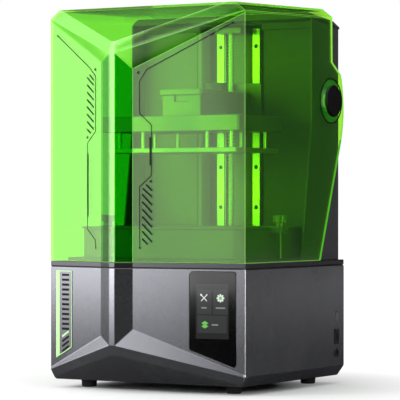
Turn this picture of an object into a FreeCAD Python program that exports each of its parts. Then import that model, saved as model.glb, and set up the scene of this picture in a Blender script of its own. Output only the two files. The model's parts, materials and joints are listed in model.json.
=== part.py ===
import FreeCAD, Part
import math
import os
from FreeCAD import Rotation, Vector

# Desktop resin printer, millimetres. X right, Y to the rear, Z up, origin on the floor under its middle.

# Casing: overall size and the faceted front that the base and the lid share
WIDTH = 324.0
DEPTH = 324.0
HEIGHT = 548.0
CORNER_SETBACK = 36.0       # front corners behind the nose of the keel
CORNER_NIB = 0.8            # recessed faces start this far behind the corner
KEEL_X = -32.7
NOSE_WIDTH = 9.0
FLANK_RUN = 22.0            # keel flank, measured across
FLANK_DROP = 12.5           # keel flank, measured front to back
ROOF_FALL = 7.0             # roof is lower at its front edge
ROOF_SETBACK = 35.0
SHOULDER_INSET = 16.7
SHOULDER_DROP = 12.5
NOSE_TOP_DROP = 74.0        # drops are measured from the top of the roof
CROWN_DROP = 57.3
CROWN_SETBACK = 3.4
FLANK_TOP_LEFT_DROP = 85.0
FLANK_TOP_RIGHT_DROP = 96.0
NOSE_BOTTOM_Z = 65.6
HEEL_Z = 51.8
HEEL_SETBACK = 3.0
FLANK_BOTTOM_LEFT_Z = 77.5
FLANK_BOTTOM_RIGHT_Z = 88.5
TOE_SETBACK = 40.0
SKIRT_Z = 26.0
SKIRT_INSET = 7.0
FACET_NARROWING = 1.0       # crown and heel are this much narrower than the nose, each side

# Fits that several pieces share
RUNNING_FIT = 0.05
SCREW_CLEARANCE = 0.1
BLIND_GAP = 1.0             # blind holes are this much deeper than what sits in them
LAP = 1.0                   # cuts reach this far past a face, joined lumps overlap by it
ALIGNED = 0.999             # cosine above which an edge counts as parallel

# Levels of the base
FOOT_HEIGHT = 12.0
SEAM_Z = 173.5
GASKET_HEIGHT = 0.8
GASKET_INSET = 1.2
DECK_TOP_Z = 181.5
DECK_PLATE = 4.0
BASE_WALL = 3.0

# Underside
FLOOR_WINDOW_SIDE = 54.0    # floor window in from the side, nose and rear of the casing
FLOOR_WINDOW_FRONT = 87.0
FLOOR_WINDOW_REAR = 47.0
BOTTOM_PLATE_LAP = 8.0
BOTTOM_PLATE_THICK = 2.0
FOOT_SIDE_INSET = 41.0
FOOT_FRONT_INSET = 75.0
FOOT_REAR_INSET = 35.0
FOOT_TOP_RADIUS = 11.5
FOOT_BOTTOM_RADIUS = 10.5
FOOT_EDGE = 1.0
BOTTOM_SCREW_RADIUS = 1.5
BOTTOM_SCREW_HEAD_RADIUS = 2.9
BOTTOM_SCREW_HEAD = 2.2

# Front touch panel and side badge, placed from the outer corner of their face
PANEL_INNER = 83.0
PANEL_OUTER = 14.0
PANEL_TOP_GAP = 3.5
PANEL_LOW_Z = 38.0
PANEL_SLANT = 24.0
PANEL_THICK = 2.0
PANEL_PROUD = 0.4
PANEL_CORNER = 4.0
PANEL_LEDGE = 4.0
PANEL_CLEARANCE = 0.2
DISPLAY_THICK = 5.0
BADGE_OUTER = 12.0
BADGE_INNER = 45.5
BADGE_TOP_GAP = 5.5
BADGE_LOW_Z = 42.5
BADGE_SLANT = 16.0
BADGE_THICK = 0.6
BADGE_CORNER = 1.5

# Sockets and switch on the right side
PORT_REAR_INSET = 22.7
PORT_CLEARANCE = 0.1
USB_Z = 98.5
USB_TALL = 13.4
USB_WIDE = 5.9
USB_SHEET = 0.4
USB_DEEP = 16.0
USB_TONGUE = 1.6
USB_TONGUE_INSET = 1.0
SWITCH_Z = 69.5
SWITCH_TALL = 22.0
SWITCH_WIDE = 12.0
SWITCH_FLANGE = 1.2
SWITCH_DEEP = 15.0
SWITCH_LIP = 1.6
SWITCH_WALL = 1.0
ROCKER_FACE = 3.4
ROCKER_CROWN = 1.3
ROCKER_BACK = 4.0
ROCKER_PIVOT_DEPTH = 3.2
ROCKER_TILT = 6.0
ROCKER_AXLE_RADIUS = 1.0
ROCKER_AXLE_LENGTH = 1.0
ROCKER_CLEARANCE = 0.45
INLET_Z = 46.0
INLET_FLANGE_RADIUS = 6.5
INLET_FLANGE = 1.0
INLET_RADIUS = 5.4
INLET_BORE_RADIUS = 3.2
INLET_PIN_RADIUS = 1.0
INLET_DEEP = 14.0
INLET_BORE_DEEP = 10.0

# Light engine under the screen
HEATSINK_INSET_X = 42.0     # heat sink inside the bed's window
HEATSINK_INSET_Y = 15.0
HEATSINK_FIN_HEIGHT = 24.0
HEATSINK_PLATE = 4.0
HEATSINK_FIN = 2.0
HEATSINK_FIN_COUNT = 12
LED_BOARD_MARGIN = 8.0
LED_BOARD_THICK = 1.6
LED_RADIUS = 3.0
LED_HEIGHT = 2.4
LED_EDGE = 8.0
LED_PITCH = 18.0
REFLECTOR_FOOT_INSET = 4.0
REFLECTOR_MARGIN_X = 6.0    # reflector mouth outside the bed's window
REFLECTOR_MARGIN_Y = 7.0
REFLECTOR_BED_GAP = 20.5    # room for the bed to tilt above the light engine
REFLECTOR_WALL = 2.0
LENS_LAP = 3.0
LENS_THICK = 3.0

# Mainboard, cooling fan, motors
BOARD_SIDE_GAP = 3.0
BOARD_WIDE = 79.0
BOARD_LONG = 56.0
BOARD_REAR_LAP = 1.0
BOARD_THICK = 1.6
BOARD_STANDOFF = 5.0
BOARD_STANDOFF_RADIUS = 3.0
BOARD_STANDOFF_INSET = 5.0
CHIP_SIZE = 20.0
CHIP_INSET = 20.0
CHIP_HEIGHT = 3.0
PLUG_COUNT = 4
PLUG_PITCH = 16.0
PLUG_INSET = 9.5
PLUG_WIDE = 10.0
PLUG_DEEP = 6.5
PLUG_EDGE = 4.5
PLUG_HEIGHT = 7.0
FAN_SIDE_INSET = 80.0
FAN_Z = 100.0
FAN_SIZE = 80.0
FAN_DEEP = 25.0
FAN_BORE_RADIUS = 37.5
FAN_TIP_GAP = 1.5
FAN_HUB_RADIUS = 16.0
FAN_HUB_DEEP = 18.0
FAN_BLADES = 7
FAN_BLADE_THICK = 1.6
FAN_BLADE_PITCH = 38.0
FAN_SPIDER = 3.0
FAN_PIN_RADIUS = 1.5
VENT_SLOT_COUNT = 7
VENT_SLOT_HEIGHT = 4.0
VENT_SLOT_PITCH = 9.0
MOTOR_SIZE = 42.0
MOTOR_HEIGHT = 40.0
MOTOR_BEVEL = 4.0
MOTOR_SHAFT_RADIUS = 2.5
MOTOR_SHAFT_SEAT = 12.0
MOTOR_DROP = 37.5           # motor face below the underside of the deck
MOTOR_MOUNT_SHEET = 3.0
MOTOR_BOSS_RADIUS = 11.0

# Tower at the rear
TOWER_SIDE_GAP = 4.0
TOWER_DEEP = 53.5
TOWER_WALL = 3.0
TOWER_PANEL = 3.5
TOWER_WING = 31.0           # side walls reach this far in front of the panels
TOWER_WING_FOOT = 30.0      # and this much further forward where they stand on the deck
TOWER_WING_DROP = 30.0      # slant of their front edges starts this far below the pivots
TOWER_HEADROOM = 7.0        # tower below the top of the roof
TOWER_CAP_HEIGHT = 21.0
TOWER_LIP = 10.5            # cap's front lip, carried by the side walls
TOWER_TOP_FALL = 10.0
TOWER_TAIL_DROP = 18.0
TOWER_TAIL_RUN = 20.0
TOWER_CORNER = 10.0
TOWER_BEVEL = 4.0
RECESS_X = 53.0
RECESS_RETURN = 6.0
RECESS_BEVEL = 5.0
COLUMN_SETBACK = 22.7
COLUMN_X = 58.0
COLUMN_THICK = 8.0
COLUMN_RISE = 4.0           # column and rails end this far inside the cap
CAMERA_EDGE = 14.0
CAMERA_DROP = 65.0
CAMERA_WIDE = 10.0
CAMERA_TALL = 18.0
CAMERA_DEEP = 7.0
CAMERA_LENS_RADIUS = 3.2
CAMERA_LENS = 1.5

# Z drive
RAIL_X = 30.6
RAIL_WIDTH = 12.0
RAIL_HEIGHT = 8.0
RAIL_GROOVE = 1.2
RAIL_GROOVE_LIFT = 3.0
RAIL_GROOVE_SLOPE = 1.0
RAIL_GROOVE_FLAT = 1.5
RAIL_FOOT_GAP = 8.5
RAIL_HOLE_END = 8.0
RAIL_HOLE_PITCH = 60.0
RAIL_SCREW_RADIUS = 1.5
RAIL_HEAD_RADIUS = 2.8
RAIL_HEAD = 3.0
RAIL_COUNTERBORE = 4.5
RAIL_COUNTERBORE_GAP = 0.3
RAIL_SCREW_REACH = 6.0
SCREW_STANDOFF = 29.3
SCREW_RADIUS = 5.0
JOURNAL_RADIUS = 4.0
THREAD_END_GAP = 0.5        # thread ends this far short of the bearing blocks
COUPLER_RADIUS = 9.5
COUPLER_HEIGHT = 26.0
COUPLER_SEAT = 12.0
COUPLER_LIFT = 3.0
DECK_SCREW_HOLE = 12.0
BEARING_X = 22.0
BEARING_FRONT = 9.0
UPPER_BEARING_HEIGHT = 8.0
LOWER_BEARING_HEIGHT = 13.5

# Platform that rides on the rails
CARRIAGE_REST_DROP = 152.0  # foot of the carriage below the top of the rails
CARRIAGE_HEIGHT = 70.0
CARRIAGE_X = 48.0
CARRIAGE_THICK = 10.0
BLOCK_WIDTH = 27.0
BLOCK_HEIGHT = 13.0
BLOCK_LENGTH = 30.0
BLOCK_LIFT = 3.0
BLOCK_CLEARANCE = 0.15
BLOCK_INSET = 1.0
NUT_RADIUS = 10.5
NUT_FLANGE_RADIUS = 16.0
NUT_FLANGE = 7.0
NUT_HEIGHT = 30.0
NUT_BORE_GAP = 0.3
NUT_POCKET_GAP = 1.0
ARM_X = 30.0
ARM_FRONT_Y = 44.0
ARM_LIFT = 23.0             # underside of the arm above the foot of the carriage
ARM_HEIGHT = 32.6
ARM_EDGE = 3.0
PLATE_DROP = 35.4
PLATE_MARGIN_X = 2.5        # build plate inside the bed's window
PLATE_MARGIN_Y = 3.5
PLATE_THICK = 6.4
PLATE_EDGE = 2.0
POST_HEIGHT = 23.7
POST_RADIUS = 2.5
POST_EDGE_X = 15.5
POST_SPACING = 40.0
POST_EDGE_Y = 14.0
HEAD_LAP_X = 5.5
HEAD_LAP_Y = 1.5
HEAD_THICK = 22.3
HEAD_EDGE = 3.0
BLOCK_MOUNT_X = 32.0
BLOCK_MOUNT_FRONT_Y = -30.0
BLOCK_MOUNT_HEIGHT = 31.0
BLOCK_MOUNT_RIM = 4.0
BLOCK_MOUNT_RIM_HEIGHT = 8.0
GRIP_X = 12.0
GRIP_TALL = 9.5
GRIP_DEEP = 3.0
KNOB_SETBACK = 22.0
KNOB_RADIUS = 19.0
KNOB_TOP_RADIUS = 16.5
KNOB_HEIGHT = 13.0
KNOB_FLUTES = 12
KNOB_FLUTE_RADIUS = 2.2
KNOB_STUD_RADIUS = 3.0
KNOB_STUD = 16.0
KNOB_LIFT = 0.3

# Tilting bed, screen and vat
BED_SIDE_INSET = 12.0
BED_FRONT_INSET = 62.0
BED_REAR_INSET = 5.5        # rear edge of the bed in front of its hinge line
BED_LIFT = 5.0
BED_THICK = 6.0
BED_GAP = 2.0
BED_REAR_GAP = 1.0
BED_WINDOW_INSET_X = 4.0    # window inside the opening in the vat's floor
BED_WINDOW_INSET_Y = 3.0
BED_PIVOT_GAP = 11.0
BED_PIVOT_DROP = 1.0
BED_LUG_INSET = 60.0
BED_LUG_WIDTH = 12.0
BED_LUG_RADIUS = 3.5
BED_PIN_RADIUS = 1.5
CHEEK_THICK = 3.0
CHEEK_GAP = 0.4
CHEEK_Y = 4.0
CHEEK_TOP = 3.5
SCREEN_LEDGE = 8.0
SCREEN_THICK = 2.0
SCREEN_CLEARANCE = 0.2
FILM_THICK = 0.5
FILM_LAP = 6.0
FILM_CLEARANCE = 0.3
VAT_SIDE_INSET = 16.0
VAT_REAR_INSET = 1.0
VAT_HEIGHT = 44.5
VAT_WALL = 10.0
VAT_FLOOR = 3.5
VAT_LEDGE_X = 8.0
VAT_LEDGE_Y = 13.0
VAT_RIM = 3.5
VAT_RIM_HEIGHT = 3.0
VAT_CORNER = 14.0
VAT_EAR_LAP = 5.0
VAT_EAR_Y = 13.0
VAT_EAR_HEIGHT = 9.0
VAT_SCREW_INSET = 4.0
VAT_SCREW_RADIUS = 2.8
VAT_SCREW_HOLE = 3.0
VAT_SCREW_END_GAP = 1.0
VAT_KNOB_RADIUS = 10.0
VAT_KNOB_HEIGHT = 16.0
VAT_KNOB_WAIST = 6.5
VAT_KNOB_WAIST_HEIGHT = 6.0
VAT_KNOB_FLUTES = 14
VAT_KNOB_FLUTE_RADIUS = 1.0
PUSHER_INSET = 8.0
PUSHER_RADIUS = 4.0
PUSHER_GAP = 0.4
PUSHER_EDGE = 2.0
PUSHER_LENGTH = 44.0
PUSHER_TRAVEL_ROOM = 13.0
GUIDE_RADIUS = 8.0
GUIDE_HEIGHT = 31.0
TILT_MOTOR_SIZE = 35.0
TILT_MOTOR_HEIGHT = 34.0
TILT_STAND_SHEET = 2.5
TILT_STAND_Y = 24.5
TILT_STAND_X = 30.0

# Lid and its pivots
LID_WALL = 3.0
LID_GAP = 0.5
LID_REAR_RUN = 4.0          # runs and rises of the side outline, from the pivot
LID_FOOT_RUN = -31.0
LID_NECK_RUN = 32.7
LID_NECK_RISE = -56.0
LID_BULGE_RUN = 39.5
LID_BULGE_RISE = -8.0
LID_NAPE_RUN = 31.2
LID_NAPE_RISE = 39.3
LID_KINK_RUN = 5.2
LID_KINK_RISE = 57.0
PIVOT_REAR_INSET = 40.0
PIVOT_DROP = 135.0
PIVOT_RADIUS = 10.0
PIVOT_FLANGE_RADIUS = 16.0
PIVOT_FLANGE = 2.5
PIVOT_STUB_RADIUS = 8.0
PIVOT_NUT_RADIUS = 9.5
PIVOT_NUT = 3.0
PIVOT_END_GAP = 0.5
COLLAR_RADIUS = 31.0
COLLAR_TOP_RADIUS = 25.5
COLLAR_HEIGHT = 3.0
CAP_RADIUS = 23.3
CAP_HEIGHT = 3.0
CAP_EDGE = 2.0
RING_INNER_RADIUS = 31.6
RING_OUTER_RADIUS = 33.4
RING_HEIGHT = 0.8

# Places that follow from the sizes above: casing
HALF_X = WIDTH / 2
NOSE_Y = -DEPTH / 2
REAR_Y = DEPTH / 2
CORNER_Y = NOSE_Y + CORNER_SETBACK
FLANK_Y = NOSE_Y + FLANK_DROP
ROOF_FRONT_Y = NOSE_Y + ROOF_SETBACK
TOE_Y = NOSE_Y + TOE_SETBACK
NOSE_LEFT = KEEL_X - NOSE_WIDTH / 2
NOSE_RIGHT = KEEL_X + NOSE_WIDTH / 2
FLANK_LEFT = NOSE_LEFT - FLANK_RUN
FLANK_RIGHT = NOSE_RIGHT + FLANK_RUN
NOSE_TOP_Z = HEIGHT - NOSE_TOP_DROP
CROWN_Z = HEIGHT - CROWN_DROP
FLANK_TOP_LEFT_Z = HEIGHT - FLANK_TOP_LEFT_DROP
FLANK_TOP_RIGHT_Z = HEIGHT - FLANK_TOP_RIGHT_DROP
PIVOT_Y = REAR_Y - PIVOT_REAR_INSET
PIVOT_Z = HEIGHT - PIVOT_DROP
LID_REAR_Y = PIVOT_Y + LID_REAR_RUN
LID_FOOT_Y = PIVOT_Y + LID_FOOT_RUN
LID_KINK_Z = PIVOT_Z + LID_KINK_RISE
COLLAR_X = HALF_X + COLLAR_HEIGHT
ROOF_SLOPE = ROOF_FALL / (LID_REAR_Y - ROOF_FRONT_Y)
ROOF_FRONT_Z = HEIGHT - ROOF_FALL
SHOULDER_Z = ROOF_FRONT_Z - SHOULDER_DROP

# Places in the base
FLOOR_TOP_Z = FOOT_HEIGHT + BASE_WALL
BOTTOM_PLATE_TOP_Z = FLOOR_TOP_Z + BOTTOM_PLATE_THICK
DECK_BOTTOM_Z = SEAM_Z + GASKET_HEIGHT
DECK_UNDER_Z = DECK_TOP_Z - DECK_PLATE
LID_BOTTOM_Z = DECK_TOP_Z + LID_GAP
FLOOR_WINDOW_X = HALF_X - FLOOR_WINDOW_SIDE
FLOOR_WINDOW_FRONT_Y = NOSE_Y + FLOOR_WINDOW_FRONT
FLOOR_WINDOW_REAR_Y = REAR_Y - FLOOR_WINDOW_REAR
FOOT_X = HALF_X - FOOT_SIDE_INSET
FOOT_FRONT_Y = NOSE_Y + FOOT_FRONT_INSET
FOOT_REAR_Y = REAR_Y - FOOT_REAR_INSET
PANEL_TOP_Z = SEAM_Z - PANEL_TOP_GAP
BADGE_TOP_Z = SEAM_Z - BADGE_TOP_GAP
PORT_Y = REAR_Y - PORT_REAR_INSET
ROCKER_WIDE = SWITCH_WIDE - 2 * (SWITCH_LIP + SWITCH_WALL + ROCKER_CLEARANCE)
ROCKER_TALL = SWITCH_TALL - 2 * (SWITCH_LIP + SWITCH_WALL + ROCKER_CLEARANCE)
FAN_X = HALF_X - FAN_SIDE_INSET
BOARD_X0 = BOARD_SIDE_GAP - FLOOR_WINDOW_X
BOARD_X1 = BOARD_X0 + BOARD_WIDE
BOARD_Y1 = FLOOR_WINDOW_REAR_Y + BOARD_REAR_LAP
BOARD_Y0 = BOARD_Y1 - BOARD_LONG

# Places on the tower and the Z drive
TOWER_X = HALF_X - LID_WALL - TOWER_SIDE_GAP
TOWER_FRONT_Y = REAR_Y - TOWER_DEEP
TOWER_WING_Y = TOWER_FRONT_Y - TOWER_WING
TOWER_INNER_X = TOWER_X - TOWER_WALL
TOWER_TOP_Z = HEIGHT - TOWER_HEADROOM
TOWER_SHELL_TOP_Z = TOWER_TOP_Z - TOWER_CAP_HEIGHT
TOWER_LIP_Z = TOWER_TOP_Z - TOWER_LIP
TOWER_TAIL_Z = TOWER_TOP_Z - TOWER_TAIL_DROP
CAMERA_X = TOWER_X - CAMERA_EDGE
CAMERA_Z = TOWER_SHELL_TOP_Z - CAMERA_DROP
COLUMN_FRONT_Y = REAR_Y - COLUMN_SETBACK
COLUMN_TOP_Z = TOWER_SHELL_TOP_Z + COLUMN_RISE
RAIL_FRONT_Y = COLUMN_FRONT_Y - RAIL_HEIGHT
RAIL_BOTTOM_Z = DECK_TOP_Z + RAIL_FOOT_GAP
RAIL_HOLE_Z = RAIL_BOTTOM_Z + RAIL_HOLE_END
RAIL_HOLE_COUNT = 1 + int((COLUMN_TOP_Z - RAIL_HOLE_END - RAIL_HOLE_Z) // RAIL_HOLE_PITCH)
SCREW_Y = COLUMN_FRONT_Y - SCREW_STANDOFF
UPPER_BEARING_Z = COLUMN_TOP_Z - UPPER_BEARING_HEIGHT
LOWER_BEARING_TOP_Z = DECK_TOP_Z + LOWER_BEARING_HEIGHT
MOTOR_FACE_Z = DECK_UNDER_Z - MOTOR_DROP
COUPLER_Z = MOTOR_FACE_Z + COUPLER_LIFT

# Places on the bed, and the light engine under it
BED_X = HALF_X - BED_SIDE_INSET
BED_FRONT_Y = NOSE_Y + BED_FRONT_INSET
BED_PIVOT_Y = TOWER_FRONT_Y - BED_PIVOT_GAP
BED_REAR_Y = BED_PIVOT_Y - BED_REAR_INSET
BED_TOP_Z = DECK_TOP_Z + BED_LIFT
BED_BOTTOM_Z = BED_TOP_Z - BED_THICK
BED_PIVOT_Z = BED_TOP_Z - BED_PIVOT_DROP
BED_LUG_X = BED_X - BED_LUG_INSET
VAT_X = BED_X - VAT_SIDE_INSET
VAT_Y = BED_REAR_Y - VAT_REAR_INSET
VAT_FLOOR_X = VAT_X - VAT_WALL - VAT_LEDGE_X
VAT_FLOOR_Y = VAT_Y - VAT_WALL - VAT_LEDGE_Y
VAT_TOP_Z = BED_TOP_Z + VAT_HEIGHT
VAT_EAR_X = BED_X + VAT_EAR_LAP
VAT_SCREW_X = BED_X - VAT_SCREW_INSET
BED_WINDOW_X = VAT_FLOOR_X - BED_WINDOW_INSET_X
BED_WINDOW_Y = VAT_FLOOR_Y - BED_WINDOW_INSET_Y
PUSHER_Y = BED_FRONT_Y + PUSHER_INSET
PUSHER_TOP_Z = BED_BOTTOM_Z - PUSHER_GAP
PUSHER_BOTTOM_Z = PUSHER_TOP_Z - PUSHER_LENGTH
GUIDE_FLOOR_Z = PUSHER_BOTTOM_Z - PUSHER_TRAVEL_ROOM
TILT_MOTOR_TOP_Z = GUIDE_FLOOR_Z - BASE_WALL
HEATSINK_X = BED_WINDOW_X - HEATSINK_INSET_X
HEATSINK_Y = BED_WINDOW_Y - HEATSINK_INSET_Y
HEATSINK_TOP_Z = BOTTOM_PLATE_TOP_Z + HEATSINK_FIN_HEIGHT + HEATSINK_PLATE
REFLECTOR_FOOT_X = HEATSINK_X - REFLECTOR_FOOT_INSET
REFLECTOR_FOOT_Y = HEATSINK_Y - REFLECTOR_FOOT_INSET
REFLECTOR_TOP_X = BED_WINDOW_X + REFLECTOR_MARGIN_X
REFLECTOR_TOP_Y = BED_WINDOW_Y + REFLECTOR_MARGIN_Y
REFLECTOR_TOP_Z = BED_BOTTOM_Z - REFLECTOR_BED_GAP

# Places on the platform
BLOCK_FRONT_Y = COLUMN_FRONT_Y - BLOCK_HEIGHT
CARRIAGE_FRONT_Y = BLOCK_FRONT_Y - CARRIAGE_THICK
CARRIAGE_Z = COLUMN_TOP_Z - CARRIAGE_REST_DROP
ARM_Z = CARRIAGE_Z + ARM_LIFT
ARM_TOP_Z = ARM_Z + ARM_HEIGHT
KNOB_Y = ARM_FRONT_Y + KNOB_SETBACK
PLATE_X = BED_WINDOW_X - PLATE_MARGIN_X
PLATE_Y = BED_WINDOW_Y - PLATE_MARGIN_Y
PLATE_Z = CARRIAGE_Z - PLATE_DROP
POST_OUTER_X = PLATE_X - POST_EDGE_X
POST_INNER_X = POST_OUTER_X - POST_SPACING
POST_Y = PLATE_Y - POST_EDGE_Y
POST_Z = PLATE_Z + PLATE_THICK
HEAD_X = PLATE_X + HEAD_LAP_X
HEAD_Y = PLATE_Y + HEAD_LAP_Y
HEAD_Z = POST_Z + POST_HEIGHT
HEAD_TOP_Z = HEAD_Z + HEAD_THICK

FAR = 3 * HEIGHT
UP = Vector(0, 0, 1)
RIGHT = Vector(1, 0, 0)
BACK = Vector(0, 1, 0)


def block(x0, x1, y0, y1, z0, z1):
    return Part.makeBox(x1 - x0, y1 - y0, z1 - z0, Vector(x0, y0, z0))


def rod(radius, length, start, direction):
    return Part.makeCylinder(radius, length, start, direction)


def prism(points, sweep):
    outline = Part.makePolygon([Vector(*p) for p in points + points[:1]])
    return Part.Face(outline).extrude(sweep)


def rounded(shape, radius, direction):
    edges = [e for e in shape.Edges if e.Curve.TypeId == "Part::GeomLine"]
    along = [e for e in edges if abs(e.tangentAt(e.FirstParameter).dot(direction)) > ALIGNED]
    return shape.makeFillet(radius, along)


def mirrored(shape):
    return shape.mirror(Vector(0, 0, 0), RIGHT)


# The faceted envelope: a convex hull of planes less one recess each side of the keel

def plane(a, b, c, inside):
    """Point on a plane through three points, and its normal away from a point inside."""
    a, b, c = Vector(*a), Vector(*b), Vector(*c)
    normal = (b - a).cross(c - a)
    normal.normalize()
    if (inside - a).dot(normal) > 0:
        normal = normal * -1
    return a, normal


def upright(a, b, inside):
    return plane((a[0], a[1], 0), (b[0], b[1], 0), (a[0], a[1], HEIGHT), inside)


def keep_inside(planes, shift):
    """Solid bounded by the planes, each moved along its normal by the shift."""
    solid = block(-FAR / 2, FAR / 2, -FAR / 2, FAR / 2, -FAR / 2, FAR)
    for point, normal in planes:
        outside = Part.makeBox(FAR * 2, FAR * 2, FAR * 2, Vector(-FAR, -FAR, 0))
        turn = Rotation(UP, normal)
        outside.Placement = FreeCAD.Placement(point + normal * shift, turn)
        solid = solid.cut(outside)
    return solid


def hull_planes():
    middle = Vector(0, 0, HEIGHT / 2)
    left_top, right_top = (-HALF_X, CORNER_Y, SHOULDER_Z), (HALF_X, CORNER_Y, SHOULDER_Z)
    left_low, right_low = (-HALF_X, CORNER_Y, SKIRT_Z), (HALF_X, CORNER_Y, SKIRT_Z)
    nose_top = [(x, NOSE_Y, NOSE_TOP_Z) for x in (NOSE_LEFT, NOSE_RIGHT)]
    nose_low = [(x, NOSE_Y, NOSE_BOTTOM_Z) for x in (NOSE_LEFT, NOSE_RIGHT)]
    narrow = (NOSE_LEFT + FACET_NARROWING, NOSE_RIGHT - FACET_NARROWING)
    crown = [(x, NOSE_Y + CROWN_SETBACK, CROWN_Z) for x in narrow]
    heel = [(x, NOSE_Y + HEEL_SETBACK, HEEL_Z) for x in narrow]
    roof_front = [(x, ROOF_FRONT_Y, ROOF_FRONT_Z) for x in (-HALF_X, HALF_X)]
    toe = [(x, TOE_Y, FOOT_HEIGHT) for x in (-HALF_X, HALF_X)]
    planes = [
        (Vector(-HALF_X, 0, 0), Vector(-1, 0, 0)),
        (Vector(HALF_X, 0, 0), RIGHT),
        (Vector(0, REAR_Y, 0), BACK),
        (Vector(0, NOSE_Y, 0), Vector(0, -1, 0)),
        (Vector(0, 0, FOOT_HEIGHT), Vector(0, 0, -1)),
        upright(left_top, nose_top[0], middle),
        upright(right_top, nose_top[1], middle),
        plane(roof_front[0], roof_front[1], (0, LID_REAR_Y, HEIGHT), middle),
        plane(roof_front[0], roof_front[1], crown[0], middle),
        plane(left_top, nose_top[0], crown[0], middle),
        plane(right_top, nose_top[1], crown[1], middle),
        plane(nose_top[0], nose_top[1], crown[0], middle),
        plane(toe[0], toe[1], heel[0], middle),
        plane(left_low, nose_low[0], heel[0], middle),
        plane(right_low, nose_low[1], heel[1], middle),
        plane(nose_low[0], nose_low[1], heel[0], middle),
        plane((0, REAR_Y, SKIRT_Z), (1, REAR_Y, SKIRT_Z), (0, REAR_Y - SKIRT_INSET, FOOT_HEIGHT), middle),
    ]
    for side in (-1, 1):
        x = side * HALF_X
        along = (x, CORNER_Y + 1, SHOULDER_Z + ROOF_SLOPE)
        inner = (x - side * SHOULDER_INSET, CORNER_Y, ROOF_FRONT_Z)
        planes.append(plane((x, CORNER_Y, SHOULDER_Z), along, inner, middle))
        foot = (x - side * SKIRT_INSET, 0, FOOT_HEIGHT)
        planes.append(plane((x, 0, SKIRT_Z), (x, 1, SKIRT_Z), foot, middle))
    return planes


def recess_planes(side):
    """Planes round the sunk face on one side of the keel."""
    nose_x = NOSE_LEFT if side < 0 else NOSE_RIGHT
    flank_x = FLANK_LEFT if side < 0 else FLANK_RIGHT
    top_z = FLANK_TOP_LEFT_Z if side < 0 else FLANK_TOP_RIGHT_Z
    low_z = FLANK_BOTTOM_LEFT_Z if side < 0 else FLANK_BOTTOM_RIGHT_Z
    corner = (side * HALF_X, CORNER_Y + CORNER_NIB)
    front = Vector((flank_x + side * HALF_X) / 2, NOSE_Y - CORNER_SETBACK, HEIGHT / 2)
    corner_top, corner_low = (side * HALF_X, CORNER_Y, SHOULDER_Z), (side * HALF_X, CORNER_Y, SKIRT_Z)
    return [
        upright(corner, (flank_x, FLANK_Y), front),
        upright((flank_x, FLANK_Y), (nose_x, NOSE_Y), front),
        plane(corner_top, (nose_x, NOSE_Y, NOSE_TOP_Z), (flank_x, FLANK_Y, top_z), front),
        plane(corner_low, (nose_x, NOSE_Y, NOSE_BOTTOM_Z), (flank_x, FLANK_Y, low_z), front),
    ]


def envelope(inset):
    solid = keep_inside(hull_planes(), -inset)
    for side in (-1, 1):
        solid = solid.cut(keep_inside(recess_planes(side), inset))
    return solid


def between(solid, z0, z1):
    return solid.common(block(-FAR, FAR, -FAR, FAR, z0, z1))


def face_plate(side, points, depth, thick):
    """Plate on a sunk front face. Points are (distance from the outer corner, z)."""
    corner = Vector(side * HALF_X, CORNER_Y + CORNER_NIB, 0)
    flank_x = FLANK_LEFT if side < 0 else FLANK_RIGHT
    inward = Vector(flank_x, FLANK_Y, 0) - corner
    inward.normalize()
    normal = Vector(inward.y, -inward.x, 0)
    if normal.y > 0:
        normal = normal * -1
    outline = [corner + inward * s + Vector(0, 0, z) - normal * depth for s, z in points]
    face = Part.Face(Part.makePolygon(outline + outline[:1]))
    return face.extrude(normal * thick), normal


def panel_outline(margin):
    slant = PANEL_SLANT / (PANEL_INNER - PANEL_OUTER)
    rise = margin * math.sqrt(1 + slant * slant)
    return [
        (PANEL_OUTER - margin, PANEL_TOP_Z + margin),
        (PANEL_INNER + margin, PANEL_TOP_Z + margin),
        (PANEL_INNER + margin, PANEL_LOW_Z + PANEL_SLANT + margin * slant - rise),
        (PANEL_OUTER - margin, PANEL_LOW_Z - margin * slant - rise),
    ]


def panel_plate(margin, depth, thick):
    plate, normal = face_plate(1, panel_outline(margin), depth, thick)
    return rounded(plate, PANEL_CORNER, normal)


# Base

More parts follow.
